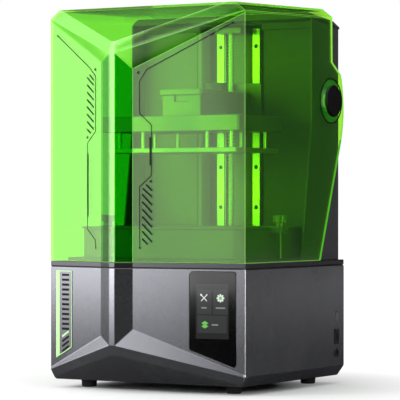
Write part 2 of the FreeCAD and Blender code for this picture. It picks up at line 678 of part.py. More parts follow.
def base_housing(outer, inner):
    shell = between(outer, FOOT_HEIGHT, SEAM_Z).cut(between(inner, FLOOR_TOP_Z, SEAM_Z + BASE_WALL))
    window_x = FLOOR_WINDOW_X
    shell = shell.cut(block(-window_x, window_x, FLOOR_WINDOW_FRONT_Y, FLOOR_WINDOW_REAR_Y, 0, SEAM_Z))
    pocket = PANEL_THICK - PANEL_PROUD
    shell = shell.cut(panel_plate(PANEL_CLEARANCE, pocket, BASE_WALL))
    shell = shell.cut(panel_plate(-PANEL_LEDGE, 2 * BASE_WALL, 3 * BASE_WALL))
    usb = [d / 2 + PORT_CLEARANCE for d in (USB_WIDE, USB_TALL)]
    shell = shell.cut(port_hole(USB_Z, usb[0], usb[1]))
    switch = [d / 2 - SWITCH_LIP + PORT_CLEARANCE for d in (SWITCH_WIDE, SWITCH_TALL)]
    shell = shell.cut(port_hole(SWITCH_Z, switch[0], switch[1]))
    inlet_start = Vector(HALF_X - 2 * BASE_WALL, PORT_Y, INLET_Z)
    shell = shell.cut(rod(INLET_RADIUS + PORT_CLEARANCE, 3 * BASE_WALL, inlet_start, RIGHT))
    for row in range(VENT_SLOT_COUNT):
        z = FAN_Z + (row - (VENT_SLOT_COUNT - 1) / 2) * VENT_SLOT_PITCH
        half = math.sqrt(FAN_BORE_RADIUS ** 2 - (z - FAN_Z) ** 2)
        slot = block(FAN_X - half, FAN_X + half, REAR_Y - 2 * BASE_WALL, REAR_Y + BASE_WALL,
                     z - VENT_SLOT_HEIGHT / 2, z + VENT_SLOT_HEIGHT / 2)
        shell = shell.cut(slot)
    for x, y in bottom_screw_places():
        start = Vector(x, y, FOOT_HEIGHT - LAP)
        shell = shell.cut(rod(BOTTOM_SCREW_RADIUS + SCREW_CLEARANCE, 2 * BASE_WALL, start, UP))
    return shell


def port_hole(z, half_y, half_z):
    x0, x1 = HALF_X - 2 * BASE_WALL, HALF_X + BASE_WALL
    return block(x0, x1, PORT_Y - half_y, PORT_Y + half_y, z - half_z, z + half_z)


def deck_gasket():
    ring = between(envelope(GASKET_INSET), SEAM_Z, DECK_BOTTOM_Z)
    return ring.cut(envelope(BASE_WALL))


def top_deck(outer, inner):
    deck = between(outer, DECK_BOTTOM_Z, DECK_TOP_Z).cut(between(inner, 0, DECK_UNDER_Z))
    x, y0, y1 = BED_X + BED_GAP, BED_FRONT_Y - BED_GAP, BED_REAR_Y + BED_REAR_GAP
    deck = deck.cut(block(-x, x, y0, y1, 0, HEIGHT))
    return deck.cut(rod(DECK_SCREW_HOLE, HEIGHT, Vector(0, SCREW_Y, 0), UP))


def bottom_screw_places():
    x = FLOOR_WINDOW_X + BOTTOM_PLATE_LAP / 2
    rows = (FLOOR_WINDOW_FRONT_Y + 2 * FOOT_TOP_RADIUS, FLOOR_WINDOW_REAR_Y - 2 * FOOT_TOP_RADIUS)
    return [(side * x, y) for side in (-1, 1) for y in rows]


def bottom_plate():
    lap = BOTTOM_PLATE_LAP
    x, y0, y1 = FLOOR_WINDOW_X + lap, FLOOR_WINDOW_FRONT_Y - lap, FLOOR_WINDOW_REAR_Y + lap
    plate = block(-x, x, y0, y1, FLOOR_TOP_Z, BOTTOM_PLATE_TOP_Z)
    for x, y in standoff_places():
        foot = Vector(x, y, BOTTOM_PLATE_TOP_Z)
        plate = plate.fuse(rod(BOARD_STANDOFF_RADIUS, BOARD_STANDOFF, foot, UP))
    for x, y in bottom_screw_places():
        plate = plate.cut(rod(BOTTOM_SCREW_RADIUS + SCREW_CLEARANCE, HEIGHT, Vector(x, y, 0), UP))
    for row in range(VENT_SLOT_COUNT):
        y = (row - (VENT_SLOT_COUNT - 1) / 2) * VENT_SLOT_PITCH
        half = VENT_SLOT_HEIGHT / 2
        reach = HEATSINK_X - lap
        plate = plate.cut(block(-reach, reach, y - half, y + half, 0, BOTTOM_PLATE_TOP_Z))
    return plate


def bottom_screws():
    screws = []
    for x, y in bottom_screw_places():
        seat = Vector(x, y, FOOT_HEIGHT)
        head = rod(BOTTOM_SCREW_HEAD_RADIUS, BOTTOM_SCREW_HEAD, seat, UP * -1)
        shank = rod(BOTTOM_SCREW_RADIUS, BASE_WALL + BOTTOM_PLATE_THICK, seat, UP)
        screws.append(head.fuse(shank))
    return Part.makeCompound(screws)


def rubber_feet():
    feet = []
    for x in (-FOOT_X, FOOT_X):
        for y in (FOOT_FRONT_Y, FOOT_REAR_Y):
            foot = Part.makeCone(FOOT_BOTTOM_RADIUS, FOOT_TOP_RADIUS, FOOT_HEIGHT, Vector(x, y, 0))
            rim = [e for e in foot.Edges if e.BoundBox.ZMax < FOOT_HEIGHT / 2]
            feet.append(foot.makeChamfer(FOOT_EDGE, rim))
    return Part.makeCompound(feet)


def touch_panel():
    return panel_plate(0, PANEL_THICK - PANEL_PROUD, PANEL_THICK)


def display_module():
    depth = PANEL_THICK - PANEL_PROUD + DISPLAY_THICK
    return panel_plate(-PANEL_LEDGE - PANEL_CLEARANCE, depth, DISPLAY_THICK)


def side_badge():
    outline = [
        (BADGE_OUTER, BADGE_TOP_Z),
        (BADGE_INNER, BADGE_TOP_Z),
        (BADGE_INNER, BADGE_LOW_Z + BADGE_SLANT),
        (BADGE_OUTER, BADGE_LOW_Z),
    ]
    plate, normal = face_plate(-1, outline, 0, BADGE_THICK)
    return rounded(plate, BADGE_CORNER, normal)


# Sockets and switch

def usb_socket():
    y, z = USB_WIDE / 2, USB_TALL / 2
    back = HALF_X - USB_DEEP
    shell = block(back, HALF_X, PORT_Y - y, PORT_Y + y, USB_Z - z, USB_Z + z)
    y, z = y - USB_SHEET, z - USB_SHEET
    mouth = block(back + 2 * USB_SHEET, HALF_X + LAP, PORT_Y - y, PORT_Y + y, USB_Z - z, USB_Z + z)
    shell = shell.cut(mouth)
    z, front = z - USB_TONGUE_INSET, HALF_X - USB_TONGUE_INSET
    tongue = block(back + USB_SHEET, front, PORT_Y, PORT_Y + USB_TONGUE, USB_Z - z, USB_Z + z)
    return shell.fuse(tongue)


def rocker_place():
    return Vector(HALF_X + SWITCH_FLANGE - ROCKER_PIVOT_DEPTH, PORT_Y, SWITCH_Z)


def switch_frame():
    y, z = SWITCH_WIDE / 2, SWITCH_TALL / 2
    frame = block(HALF_X, HALF_X + SWITCH_FLANGE, PORT_Y - y, PORT_Y + y, SWITCH_Z - z, SWITCH_Z + z)
    y, z = y - SWITCH_LIP, z - SWITCH_LIP
    back = HALF_X - SWITCH_DEEP
    frame = frame.fuse(block(back, HALF_X, PORT_Y - y, PORT_Y + y, SWITCH_Z - z, SWITCH_Z + z))
    y, z = ROCKER_WIDE / 2 + ROCKER_CLEARANCE, ROCKER_TALL / 2 + ROCKER_CLEARANCE
    mouth = block(back + 2 * SWITCH_LIP, FAR, PORT_Y - y, PORT_Y + y, SWITCH_Z - z, SWITCH_Z + z)
    reach = ROCKER_WIDE / 2 + ROCKER_AXLE_LENGTH + RUNNING_FIT
    axle = rod(ROCKER_AXLE_RADIUS + RUNNING_FIT, 2 * reach, rocker_place() - BACK * reach, BACK)
    return frame.cut(mouth).cut(axle)


def power_rocker():
    place = rocker_place()
    half = ROCKER_TALL / 2
    profile = [(-ROCKER_BACK, -half), (ROCKER_FACE, -half), (ROCKER_FACE - ROCKER_CROWN, 0),
               (ROCKER_FACE, half), (-ROCKER_BACK, half)]
    start = place - Vector(0, ROCKER_WIDE / 2, 0)
    points = [(start.x + x, start.y, start.z + z) for x, z in profile]
    body = prism(points, Vector(0, ROCKER_WIDE, 0))
    corners = rod(math.hypot(half, ROCKER_BACK / 2), ROCKER_WIDE, start, BACK)
    body = body.common(corners)
    reach = ROCKER_WIDE / 2 + ROCKER_AXLE_LENGTH
    body = body.fuse(rod(ROCKER_AXLE_RADIUS, 2 * reach, place - BACK * reach, BACK))
    body.rotate(place, BACK, ROCKER_TILT)
    return body


def power_inlet():
    face = Vector(HALF_X, PORT_Y, INLET_Z)
    inward = Vector(-1, 0, 0)
    body = rod(INLET_FLANGE_RADIUS, INLET_FLANGE, face, RIGHT)
    body = body.fuse(rod(INLET_RADIUS, INLET_DEEP, face, inward))
    mouth = face + Vector(INLET_FLANGE, 0, 0)
    body = body.cut(rod(INLET_BORE_RADIUS, INLET_BORE_DEEP, mouth, inward))
    return body.fuse(rod(INLET_PIN_RADIUS, INLET_BORE_DEEP, face, inward))


# Light engine, electronics, fan

def heat_sink():
    x, y = HEATSINK_X, HEATSINK_Y
    sink = block(-x, x, -y, y, HEATSINK_TOP_Z - HEATSINK_PLATE, HEATSINK_TOP_Z)
    pitch = (2 * x - HEATSINK_FIN) / (HEATSINK_FIN_COUNT - 1)
    for i in range(HEATSINK_FIN_COUNT):
        left = -x + i * pitch
        fin = block(left, left + HEATSINK_FIN, -y, y, BOTTOM_PLATE_TOP_Z, HEATSINK_TOP_Z)
        sink = sink.fuse(fin)
    return sink.removeSplitter()


def led_board():
    x, y = REFLECTOR_FOOT_X - LED_BOARD_MARGIN, REFLECTOR_FOOT_Y - LED_BOARD_MARGIN
    board = block(-x, x, -y, y, HEATSINK_TOP_Z, HEATSINK_TOP_Z + LED_BOARD_THICK)
    columns, rows = [int(2 * (half - LED_EDGE) // LED_PITCH) for half in (x, y)]
    for row in range(rows + 1):
        for column in range(columns + 1):
            led_x, led_y = (column - columns / 2) * LED_PITCH, (row - rows / 2) * LED_PITCH
            place = Vector(led_x, led_y, HEATSINK_TOP_Z + LED_BOARD_THICK)
            board = board.fuse(rod(LED_RADIUS, LED_HEIGHT, place, UP))
    return board


def rectangle(x, y, z):
    corners = [Vector(-x, -y, z), Vector(x, -y, z), Vector(x, y, z), Vector(-x, y, z)]
    return Part.makePolygon(corners + corners[:1])


def light_reflector():
    outer = Part.makeLoft([rectangle(REFLECTOR_FOOT_X, REFLECTOR_FOOT_Y, HEATSINK_TOP_Z),
                           rectangle(REFLECTOR_TOP_X, REFLECTOR_TOP_Y, REFLECTOR_TOP_Z)], True, True)
    w = REFLECTOR_WALL
    inner = Part.makeLoft([rectangle(REFLECTOR_FOOT_X - w, REFLECTOR_FOOT_Y - w, HEATSINK_TOP_Z),
                           rectangle(REFLECTOR_TOP_X - w, REFLECTOR_TOP_Y - w, REFLECTOR_TOP_Z)], True, True)
    return outer.cut(inner)


def collimating_lens():
    x, y = REFLECTOR_TOP_X + LENS_LAP, REFLECTOR_TOP_Y + LENS_LAP
    return block(-x, x, -y, y, REFLECTOR_TOP_Z, REFLECTOR_TOP_Z + LENS_THICK)


def standoff_places():
    i = BOARD_STANDOFF_INSET
    return [(x, y) for x in (BOARD_X0 + i, BOARD_X1 - i) for y in (BOARD_Y0 + i, BOARD_Y1 - i)]


def mainboard():
    z = BOTTOM_PLATE_TOP_Z + BOARD_STANDOFF
    top = z + BOARD_THICK
    board = block(BOARD_X0, BOARD_X1, BOARD_Y0, BOARD_Y1, z, top)
    x0, y0 = BOARD_X0 + CHIP_INSET, BOARD_Y0 + CHIP_INSET
    board = board.fuse(block(x0, x0 + CHIP_SIZE, y0, y0 + CHIP_SIZE, top, top + CHIP_HEIGHT))
    y1 = BOARD_Y1 - PLUG_EDGE
    for i in range(PLUG_COUNT):
        left = BOARD_X0 + PLUG_INSET + i * PLUG_PITCH
        board = board.fuse(block(left, left + PLUG_WIDE, y1 - PLUG_DEEP, y1, top, top + PLUG_HEIGHT))
    return board


def fan_frame():
    y0, y1 = REAR_Y - BASE_WALL - FAN_DEEP, REAR_Y - BASE_WALL
    half = FAN_SIZE / 2
    frame = block(FAN_X - half, FAN_X + half, y0, y1, FAN_Z - half, FAN_Z + half)
    frame = rounded(frame, FAN_SPIDER, BACK)
    frame = frame.cut(rod(FAN_BORE_RADIUS, 2 * FAN_DEEP, Vector(FAN_X, y0 - LAP, FAN_Z), BACK))
    spider = rod(FAN_HUB_RADIUS, FAN_SPIDER, Vector(FAN_X, y0, FAN_Z), BACK)
    reach = FAN_BORE_RADIUS + LAP
    bar = FAN_SPIDER / 2
    spider = spider.fuse(block(FAN_X - reach, FAN_X + reach, y0, y0 + FAN_SPIDER, FAN_Z - bar, FAN_Z + bar))
    spider = spider.fuse(block(FAN_X - bar, FAN_X + bar, y0, y0 + FAN_SPIDER, FAN_Z - reach, FAN_Z + reach))
    pin = rod(FAN_PIN_RADIUS, FAN_HUB_DEEP, Vector(FAN_X, y0, FAN_Z), BACK)
    return frame.fuse(spider).fuse(pin)


def fan_rotor():
    y = REAR_Y - BASE_WALL - FAN_DEEP + FAN_SPIDER + FAN_TIP_GAP / 2
    centre = Vector(FAN_X, y, FAN_Z)
    rotor = rod(FAN_HUB_RADIUS, FAN_HUB_DEEP, centre, BACK)
    tip = FAN_BORE_RADIUS - FAN_TIP_GAP
    limit = rod(tip, FAN_HUB_DEEP, centre, BACK)
    chord = FAN_HUB_DEEP / math.cos(math.radians(FAN_BLADE_PITCH))
    for i in range(FAN_BLADES):
        blade = block(0, tip + FAN_TIP_GAP, -chord, chord, -FAN_BLADE_THICK / 2, FAN_BLADE_THICK / 2)
        blade.rotate(Vector(0, 0, 0), RIGHT, FAN_BLADE_PITCH)
        blade.rotate(Vector(0, 0, 0), BACK, i * 360 / FAN_BLADES)
        blade.translate(centre + BACK * (FAN_HUB_DEEP / 2))
        rotor = rotor.fuse(blade.common(limit))
    depth = FAN_HUB_DEEP - FAN_SPIDER + FAN_TIP_GAP
    bore = rod(FAN_PIN_RADIUS + RUNNING_FIT, depth, centre - BACK * LAP, BACK)
    return rotor.cut(bore)


def stepper(size, height, x, y, top):
    half = size / 2
    body = block(x - half, x + half, y - half, y + half, top - height, top)
    edges = [e for e in body.Edges if e.BoundBox.ZLength > height / 2]
    return body.makeChamfer(MOTOR_BEVEL, edges)


def z_motor():
    motor = stepper(MOTOR_SIZE, MOTOR_HEIGHT, 0, SCREW_Y, MOTOR_FACE_Z)
    depth = MOTOR_SHAFT_SEAT + BLIND_GAP
    seat = Vector(0, SCREW_Y, MOTOR_FACE_Z - depth)
    return motor.cut(rod(MOTOR_SHAFT_RADIUS + RUNNING_FIT, depth, seat, UP))


def z_motor_mount():
    half, sheet = MOTOR_SIZE / 2, MOTOR_MOUNT_SHEET
    y0, y1 = SCREW_Y - half, SCREW_Y + half
    mount = block(-half - sheet, half + sheet, y0, y1, MOTOR_FACE_Z, MOTOR_FACE_Z + sheet)
    for side in (-1, 1):
        x = sorted((side * half, side * (half + sheet)))
        mount = mount.fuse(block(x[0], x[1], y0, y1, MOTOR_FACE_Z, DECK_UNDER_Z))
    hole = rod(MOTOR_BOSS_RADIUS, 2 * sheet, Vector(0, SCREW_Y, MOTOR_FACE_Z - LAP), UP)
    return mount.cut(hole).removeSplitter()


# Tower

def tower_shell():
    y0 = TOWER_FRONT_Y + TOWER_PANEL
    w = TOWER_WALL
    shell = block(-TOWER_X, TOWER_X, y0, REAR_Y, DECK_TOP_Z, TOWER_SHELL_TOP_Z)
    edges = [e for e in shell.Edges if e.BoundBox.ZLength > HEIGHT / 4 and e.BoundBox.YMin > REAR_Y - LAP]
    shell = shell.makeChamfer(TOWER_BEVEL, edges)
    hollow = block(-TOWER_INNER_X, TOWER_INNER_X, y0 - LAP, REAR_Y - w, DECK_TOP_Z - LAP, HEIGHT)
    edges = [e for e in hollow.Edges if e.BoundBox.ZLength > HEIGHT / 4 and e.BoundBox.YMin > REAR_Y - 2 * w]
    shell = shell.cut(hollow.makeChamfer(TOWER_BEVEL, edges))
    z0, z1 = DECK_TOP_Z, TOWER_SHELL_TOP_Z
    side_wall = [(TOWER_WING_Y - TOWER_WING_FOOT, z0), (TOWER_WING_Y, PIVOT_Z - TOWER_WING_DROP),
                 (TOWER_WING_Y, TOWER_LIP_Z), (TOWER_FRONT_Y, TOWER_LIP_Z),
                 (TOWER_FRONT_Y, z1), (y0 + LAP, z1), (y0 + LAP, z0)]
    wing = prism([(TOWER_INNER_X, y, z) for y, z in side_wall], Vector(w, 0, 0))
    shell = shell.fuse(wing).fuse(mirrored(wing)).removeSplitter()
    hole = rod(PIVOT_STUB_RADIUS + RUNNING_FIT, 3 * WIDTH, Vector(-WIDTH, PIVOT_Y, PIVOT_Z), RIGHT)
    return shell.cut(hole)


def tower_panel():
    """Right-hand front panel of the tower, with its return beside the rails."""
    x0, y0 = RECESS_X, TOWER_FRONT_Y
    corner = RECESS_BEVEL
    x1, y1 = x0 + RECESS_RETURN, y0 + TOWER_PANEL
    outline = [(x0 + corner, y0), (TOWER_INNER_X, y0), (TOWER_INNER_X, y1), (x1, y1),
               (x1, COLUMN_FRONT_Y), (x0, COLUMN_FRONT_Y), (x0, y0 + corner)]
    points = [(x, y, DECK_TOP_Z) for x, y in outline]
    return prism(points, Vector(0, 0, TOWER_SHELL_TOP_Z - DECK_TOP_Z))


def tower_cap():
    y0, lip_y = TOWER_FRONT_Y, TOWER_WING_Y
    tail_y = REAR_Y - TOWER_TAIL_RUN
    w = TOWER_WALL
    z0, z1 = TOWER_SHELL_TOP_Z, TOWER_TOP_Z
    outer = [(y0, z0), (y0, TOWER_LIP_Z), (lip_y, TOWER_LIP_Z), (lip_y, z1 - TOWER_BEVEL),
             (lip_y + TOWER_BEVEL, z1), (tail_y, z1 - TOWER_TOP_FALL), (REAR_Y, TOWER_TAIL_Z), (REAR_Y, z0)]
    cap = prism([(-TOWER_X, y, z) for y, z in outer], Vector(2 * TOWER_X, 0, 0))
    for side in (-1, 1):
        edge = side * TOWER_X
        inner = edge - side * TOWER_CORNER
        corner = [(edge, lip_y, z1 - TOWER_CORNER), (edge, lip_y, HEIGHT), (inner, lip_y, HEIGHT),
                  (inner, lip_y, z1)]
        cap = cap.cut(prism(corner, Vector(0, DEPTH, 0)))
    ceiling = z1 - TOWER_TOP_FALL - w
    rear = REAR_Y - 2 * w
    hollow = [(y0 + w, z0 - LAP), (y0 + w, ceiling), (tail_y, ceiling), (rear, z0 + w / 2), (rear, z0 - LAP)]
    inset = TOWER_X - TOWER_CORNER - w
    cap = cap.cut(prism([(-inset, y, z) for y, z in hollow], Vector(2 * inset, 0, 0)))
    return cap.cut(block(-RECESS_X, RECESS_X, 0, COLUMN_FRONT_Y, 0, ceiling))


def camera_module():
    x, z = CAMERA_WIDE / 2, CAMERA_TALL / 2
    y = TOWER_FRONT_Y - CAMERA_DEEP
    body = block(CAMERA_X - x, CAMERA_X + x, y, TOWER_FRONT_Y, CAMERA_Z - z, CAMERA_Z + z)
    return body.fuse(rod(CAMERA_LENS_RADIUS, CAMERA_LENS, Vector(CAMERA_X, y, CAMERA_Z), Vector(0, -1, 0)))


def rail_hole_heights():
    return [RAIL_HOLE_Z + i * RAIL_HOLE_PITCH for i in range(RAIL_HOLE_COUNT)]


def z_column():
    y0, y1 = COLUMN_FRONT_Y, COLUMN_FRONT_Y + COLUMN_THICK
    column = block(-COLUMN_X, COLUMN_X, y0, y1, DECK_TOP_Z, COLUMN_TOP_Z)
    for x in (-RAIL_X, RAIL_X):
        for z in rail_hole_heights():
            hole = rod(RAIL_SCREW_RADIUS + SCREW_CLEARANCE, RAIL_SCREW_REACH, Vector(x, y0, z), BACK)
            column = column.cut(hole)
    return column


def rail():
    """Right-hand guide rail, waisted along both flanks, with counterbored holes."""
    half, groove = RAIL_WIDTH / 2, RAIL_GROOVE
    low = RAIL_GROOVE_LIFT + RAIL_GROOVE_SLOPE
    high = low + RAIL_GROOVE_FLAT
    steps = [(0, 0), (RAIL_GROOVE_LIFT, 0), (low, groove), (high, groove),
             (high + RAIL_GROOVE_SLOPE, 0), (RAIL_HEIGHT, 0)]
    flank = [(half - cut, COLUMN_FRONT_Y - lift) for lift, cut in steps]
    outline = flank + [(-x, y) for x, y in reversed(flank)]
    points = [(RAIL_X + x, y, RAIL_BOTTOM_Z) for x, y in outline]
    solid = prism(points, Vector(0, 0, COLUMN_TOP_Z - RAIL_BOTTOM_Z))
    for z in rail_hole_heights():
        front = Vector(RAIL_X, RAIL_FRONT_Y, z)
        bore = RAIL_HEAD_RADIUS + RAIL_COUNTERBORE_GAP
        solid = solid.cut(rod(bore, RAIL_COUNTERBORE, front, BACK))
        solid = solid.cut(rod(RAIL_SCREW_RADIUS + SCREW_CLEARANCE, RAIL_HEIGHT, front, BACK))
    return solid


def rail_screws():
    screws = []
    for x in (-RAIL_X, RAIL_X):
        for z in rail_hole_heights():
            seat = Vector(x, RAIL_FRONT_Y + RAIL_COUNTERBORE, z)
            head = rod(RAIL_HEAD_RADIUS, RAIL_HEAD, seat, BACK * -1)
            length = RAIL_HEIGHT - RAIL_COUNTERBORE + RAIL_SCREW_REACH - BLIND_GAP
            shank = rod(RAIL_SCREW_RADIUS, length, seat, BACK)
            screws.append(head.fuse(shank))
    return Part.makeCompound(screws)


def bearing_block(z, height):
    body = block(-BEARING_X, BEARING_X, SCREW_Y - BEARING_FRONT, COLUMN_FRONT_Y, z, z + height)
    return body.cut(rod(JOURNAL_RADIUS + RUNNING_FIT, HEIGHT, Vector(0, SCREW_Y, 0), UP))


def ball_screw():
    lower = COUPLER_Z + COUPLER_HEIGHT - COUPLER_SEAT
    thread_z, thread_top = LOWER_BEARING_TOP_Z + THREAD_END_GAP, UPPER_BEARING_Z - THREAD_END_GAP
    shaft = rod(JOURNAL_RADIUS, COLUMN_TOP_Z - lower, Vector(0, SCREW_Y, lower), UP)
    return shaft.fuse(rod(SCREW_RADIUS, thread_top - thread_z, Vector(0, SCREW_Y, thread_z), UP))


def shaft_coupler():
    body = rod(COUPLER_RADIUS, COUPLER_HEIGHT, Vector(0, SCREW_Y, COUPLER_Z), UP)
    seat = COUPLER_Z + COUPLER_HEIGHT - COUPLER_SEAT
    body = body.cut(rod(JOURNAL_RADIUS + RUNNING_FIT, COUPLER_SEAT + LAP, Vector(0, SCREW_Y, seat), UP))
    stub = MOTOR_SHAFT_SEAT - BLIND_GAP
    start = Vector(0, SCREW_Y, MOTOR_FACE_Z - stub)
    return body.fuse(rod(MOTOR_SHAFT_RADIUS, stub + COUPLER_LIFT, start, UP))


# Platform

def slider_blocks():
    blocks = []
    half, gap = BLOCK_WIDTH / 2, BLOCK_CLEARANCE
    top = CARRIAGE_Z + CARRIAGE_HEIGHT - BLOCK_INSET - BLOCK_LENGTH
    for x in (-RAIL_X, RAIL_X):
        for z in (CARRIAGE_Z + BLOCK_INSET, top):
            y1 = COLUMN_FRONT_Y - BLOCK_LIFT
            body = block(x - half, x + half, BLOCK_FRONT_Y, y1, z, z + BLOCK_LENGTH)
            slot = RAIL_WIDTH / 2 + gap
            channel = block(x - slot, x + slot, RAIL_FRONT_Y - gap, COLUMN_FRONT_Y, z - LAP, z + HEIGHT)
            blocks.append(body.cut(channel))
    return Part.makeCompound(blocks)


def carriage_plate():
    z = CARRIAGE_Z
    plate = block(-CARRIAGE_X, CARRIAGE_X, CARRIAGE_FRONT_Y, BLOCK_FRONT_Y, z, z + CARRIAGE_HEIGHT)
    plate = rounded(plate, ARM_EDGE, BACK)
    x = NUT_FLANGE_RADIUS + NUT_POCKET_GAP
    z0, z1 = ARM_Z - NUT_FLANGE - NUT_POCKET_GAP, ARM_Z + NUT_HEIGHT + NUT_POCKET_GAP
    return plate.cut(block(-x, x, 0, DEPTH, z0, z1))


def ball_nut():
    nut = rod(NUT_FLANGE_RADIUS, NUT_FLANGE, Vector(0, SCREW_Y, ARM_Z - NUT_FLANGE), UP)
    nut = nut.fuse(rod(NUT_RADIUS, NUT_HEIGHT, Vector(0, SCREW_Y, ARM_Z), UP))
    return nut.cut(rod(SCREW_RADIUS + NUT_BORE_GAP, HEIGHT, Vector(0, SCREW_Y, 0), UP))


def platform_arm():
    arm = block(-ARM_X, ARM_X, ARM_FRONT_Y, CARRIAGE_FRONT_Y, ARM_Z, ARM_TOP_Z)
    arm = rounded(arm, ARM_EDGE, BACK)
    arm = arm.cut(rod(NUT_RADIUS + SCREW_CLEARANCE, HEIGHT, Vector(0, SCREW_Y, 0), UP))
    depth = KNOB_STUD + BLIND_GAP
    seat = Vector(0, KNOB_Y, ARM_TOP_Z - depth)
    return arm.cut(rod(KNOB_STUD_RADIUS + RUNNING_FIT, depth, seat, UP))


def mount_block():
    x, y0, y1 = BLOCK_MOUNT_X, BLOCK_MOUNT_FRONT_Y, ARM_FRONT_Y
    z0, z1 = HEAD_TOP_Z, HEAD_TOP_Z + BLOCK_MOUNT_HEIGHT
    grip = block(-GRIP_X, GRIP_X, y0 - LAP, y0 + GRIP_DEEP, z1 - GRIP_TALL, z1)
    body = block(-x, x, y0, y1, z0, z1).cut(grip)
    rim = BLOCK_MOUNT_RIM
    lip = block(-x - rim, x + rim, y0 - rim, y1, z1, z1 + BLOCK_MOUNT_RIM_HEIGHT)
    return body.fuse(rounded(lip, rim, UP))


def leveling_head():
    head = block(-HEAD_X, HEAD_X, -HEAD_Y, HEAD_Y, HEAD_Z, HEAD_TOP_Z)
    return rounded(head, HEAD_EDGE, UP)


def leveling_posts():
    posts = []
    for x in (-POST_OUTER_X, -POST_INNER_X, POST_INNER_X, POST_OUTER_X):
        for y in (-POST_Y, POST_Y):
            posts.append(rod(POST_RADIUS, POST_HEIGHT, Vector(x, y, POST_Z), UP))
    return Part.makeCompound(posts)


def build_plate():
    plate = block(-PLATE_X, PLATE_X, -PLATE_Y, PLATE_Y, PLATE_Z, PLATE_Z + PLATE_THICK)
    return rounded(plate, PLATE_EDGE, UP)


def fluted(knob, x, y, radius, flute_radius, count):
    for i in range(count):
        turn = 2 * math.pi * i / count
        place = Vector(x + radius * math.cos(turn), y + radius * math.sin(turn), 0)
        knob = knob.cut(rod(flute_radius, HEIGHT, place, UP))
    return knob


def clamp_knob():
    z = ARM_TOP_Z + KNOB_LIFT
    knob = Part.makeCone(KNOB_RADIUS, KNOB_TOP_RADIUS, KNOB_HEIGHT, Vector(0, KNOB_Y, z))
    knob = fluted(knob, 0, KNOB_Y, KNOB_RADIUS + KNOB_FLUTE_RADIUS / 2, KNOB_FLUTE_RADIUS, KNOB_FLUTES)
    stud = Vector(0, KNOB_Y, ARM_TOP_Z - KNOB_STUD)
    return knob.fuse(rod(KNOB_STUD_RADIUS, KNOB_STUD + KNOB_LIFT, stud, UP))


# Tilting bed, screen and vat

def tilt_bed():
    bed = block(-BED_X, BED_X, BED_FRONT_Y, BED_REAR_Y, BED_BOTTOM_Z, BED_TOP_Z)
    bed = rounded(bed, BED_GAP, UP)
    bed = bed.cut(block(-BED_WINDOW_X, BED_WINDOW_X, -BED_WINDOW_Y, BED_WINDOW_Y, 0, HEIGHT))
    x, y = [d + SCREEN_LEDGE + SCREEN_CLEARANCE for d in (BED_WINDOW_X, BED_WINDOW_Y)]
    bed = bed.cut(block(-x, x, -y, y, BED_TOP_Z - SCREEN_THICK, HEIGHT))
    lug_z = BED_PIVOT_Z - BED_LUG_RADIUS
    for x in (-BED_LUG_X, BED_LUG_X):
        x0, x1 = x - BED_LUG_WIDTH / 2, x + BED_LUG_WIDTH / 2
        start = Vector(x0, BED_PIVOT_Y, BED_PIVOT_Z)
        bed = bed.fuse(block(x0, x1, BED_REAR_Y - LAP, BED_PIVOT_Y, lug_z, BED_TOP_Z))
        bed = bed.fuse(rod(BED_LUG_RADIUS, BED_LUG_WIDTH, start, RIGHT))
        bed = bed.cut(rod(BED_PIN_RADIUS + RUNNING_FIT, BED_LUG_WIDTH, start, RIGHT))
    for x in (-VAT_SCREW_X, VAT_SCREW_X):
        bed = bed.cut(rod(VAT_SCREW_RADIUS + RUNNING_FIT, HEIGHT, Vector(x, 0, 0), UP))
    return bed


def bed_hinges():
    hinges = []
    y0, y1 = BED_PIVOT_Y - CHEEK_Y, BED_PIVOT_Y + CHEEK_Y
    for x in (-BED_LUG_X, BED_LUG_X):
        reach = BED_LUG_WIDTH / 2 + CHEEK_GAP
        pin_start = Vector(x - reach - CHEEK_THICK, BED_PIVOT_Y, BED_PIVOT_Z)
        hinge = rod(BED_PIN_RADIUS, 2 * (reach + CHEEK_THICK), pin_start, RIGHT)
        for x0 in (x - reach - CHEEK_THICK, x + reach):
            hinge = hinge.fuse(block(x0, x0 + CHEEK_THICK, y0, y1, DECK_TOP_Z, BED_PIVOT_Z + CHEEK_TOP))
        hinges.append(hinge)
    return Part.makeCompound(hinges)


def mask_screen():
    x, y = BED_WINDOW_X + SCREEN_LEDGE, BED_WINDOW_Y + SCREEN_LEDGE
    return block(-x, x, -y, y, BED_TOP_Z - SCREEN_THICK, BED_TOP_Z)


def resin_vat():
    body = rounded(block(-VAT_X, VAT_X, -VAT_Y, VAT_Y, BED_TOP_Z, VAT_TOP_Z), VAT_CORNER, UP)
    x, y = VAT_X + VAT_RIM, VAT_Y + VAT_RIM
    rim = block(-x, x, -y, y, VAT_TOP_Z - VAT_RIM_HEIGHT, VAT_TOP_Z)
    body = body.fuse(rounded(rim, VAT_CORNER + VAT_RIM, UP))
    ear = block(-VAT_EAR_X, VAT_EAR_X, -VAT_EAR_Y, VAT_EAR_Y, VAT_TOP_Z - VAT_EAR_HEIGHT, VAT_TOP_Z)
    body = body.fuse(rounded(ear, VAT_EAR_HEIGHT, UP))
    x, y = VAT_X - VAT_WALL, VAT_Y - VAT_WALL
    well = block(-x, x, -y, y, BED_TOP_Z + VAT_FLOOR, HEIGHT)
    body = body.cut(rounded(well, VAT_CORNER, UP))
    body = body.cut(block(-VAT_FLOOR_X, VAT_FLOOR_X, -VAT_FLOOR_Y, VAT_FLOOR_Y, 0, HEIGHT))
    x, y = [d + FILM_LAP + FILM_CLEARANCE for d in (VAT_FLOOR_X, VAT_FLOOR_Y)]
    body = body.cut(block(-x, x, -y, y, BED_TOP_Z, BED_TOP_Z + FILM_THICK))
    for x in (-VAT_SCREW_X, VAT_SCREW_X):
        body = body.cut(rod(VAT_SCREW_HOLE, HEIGHT, Vector(x, 0, 0), UP))
    return body.removeSplitter()


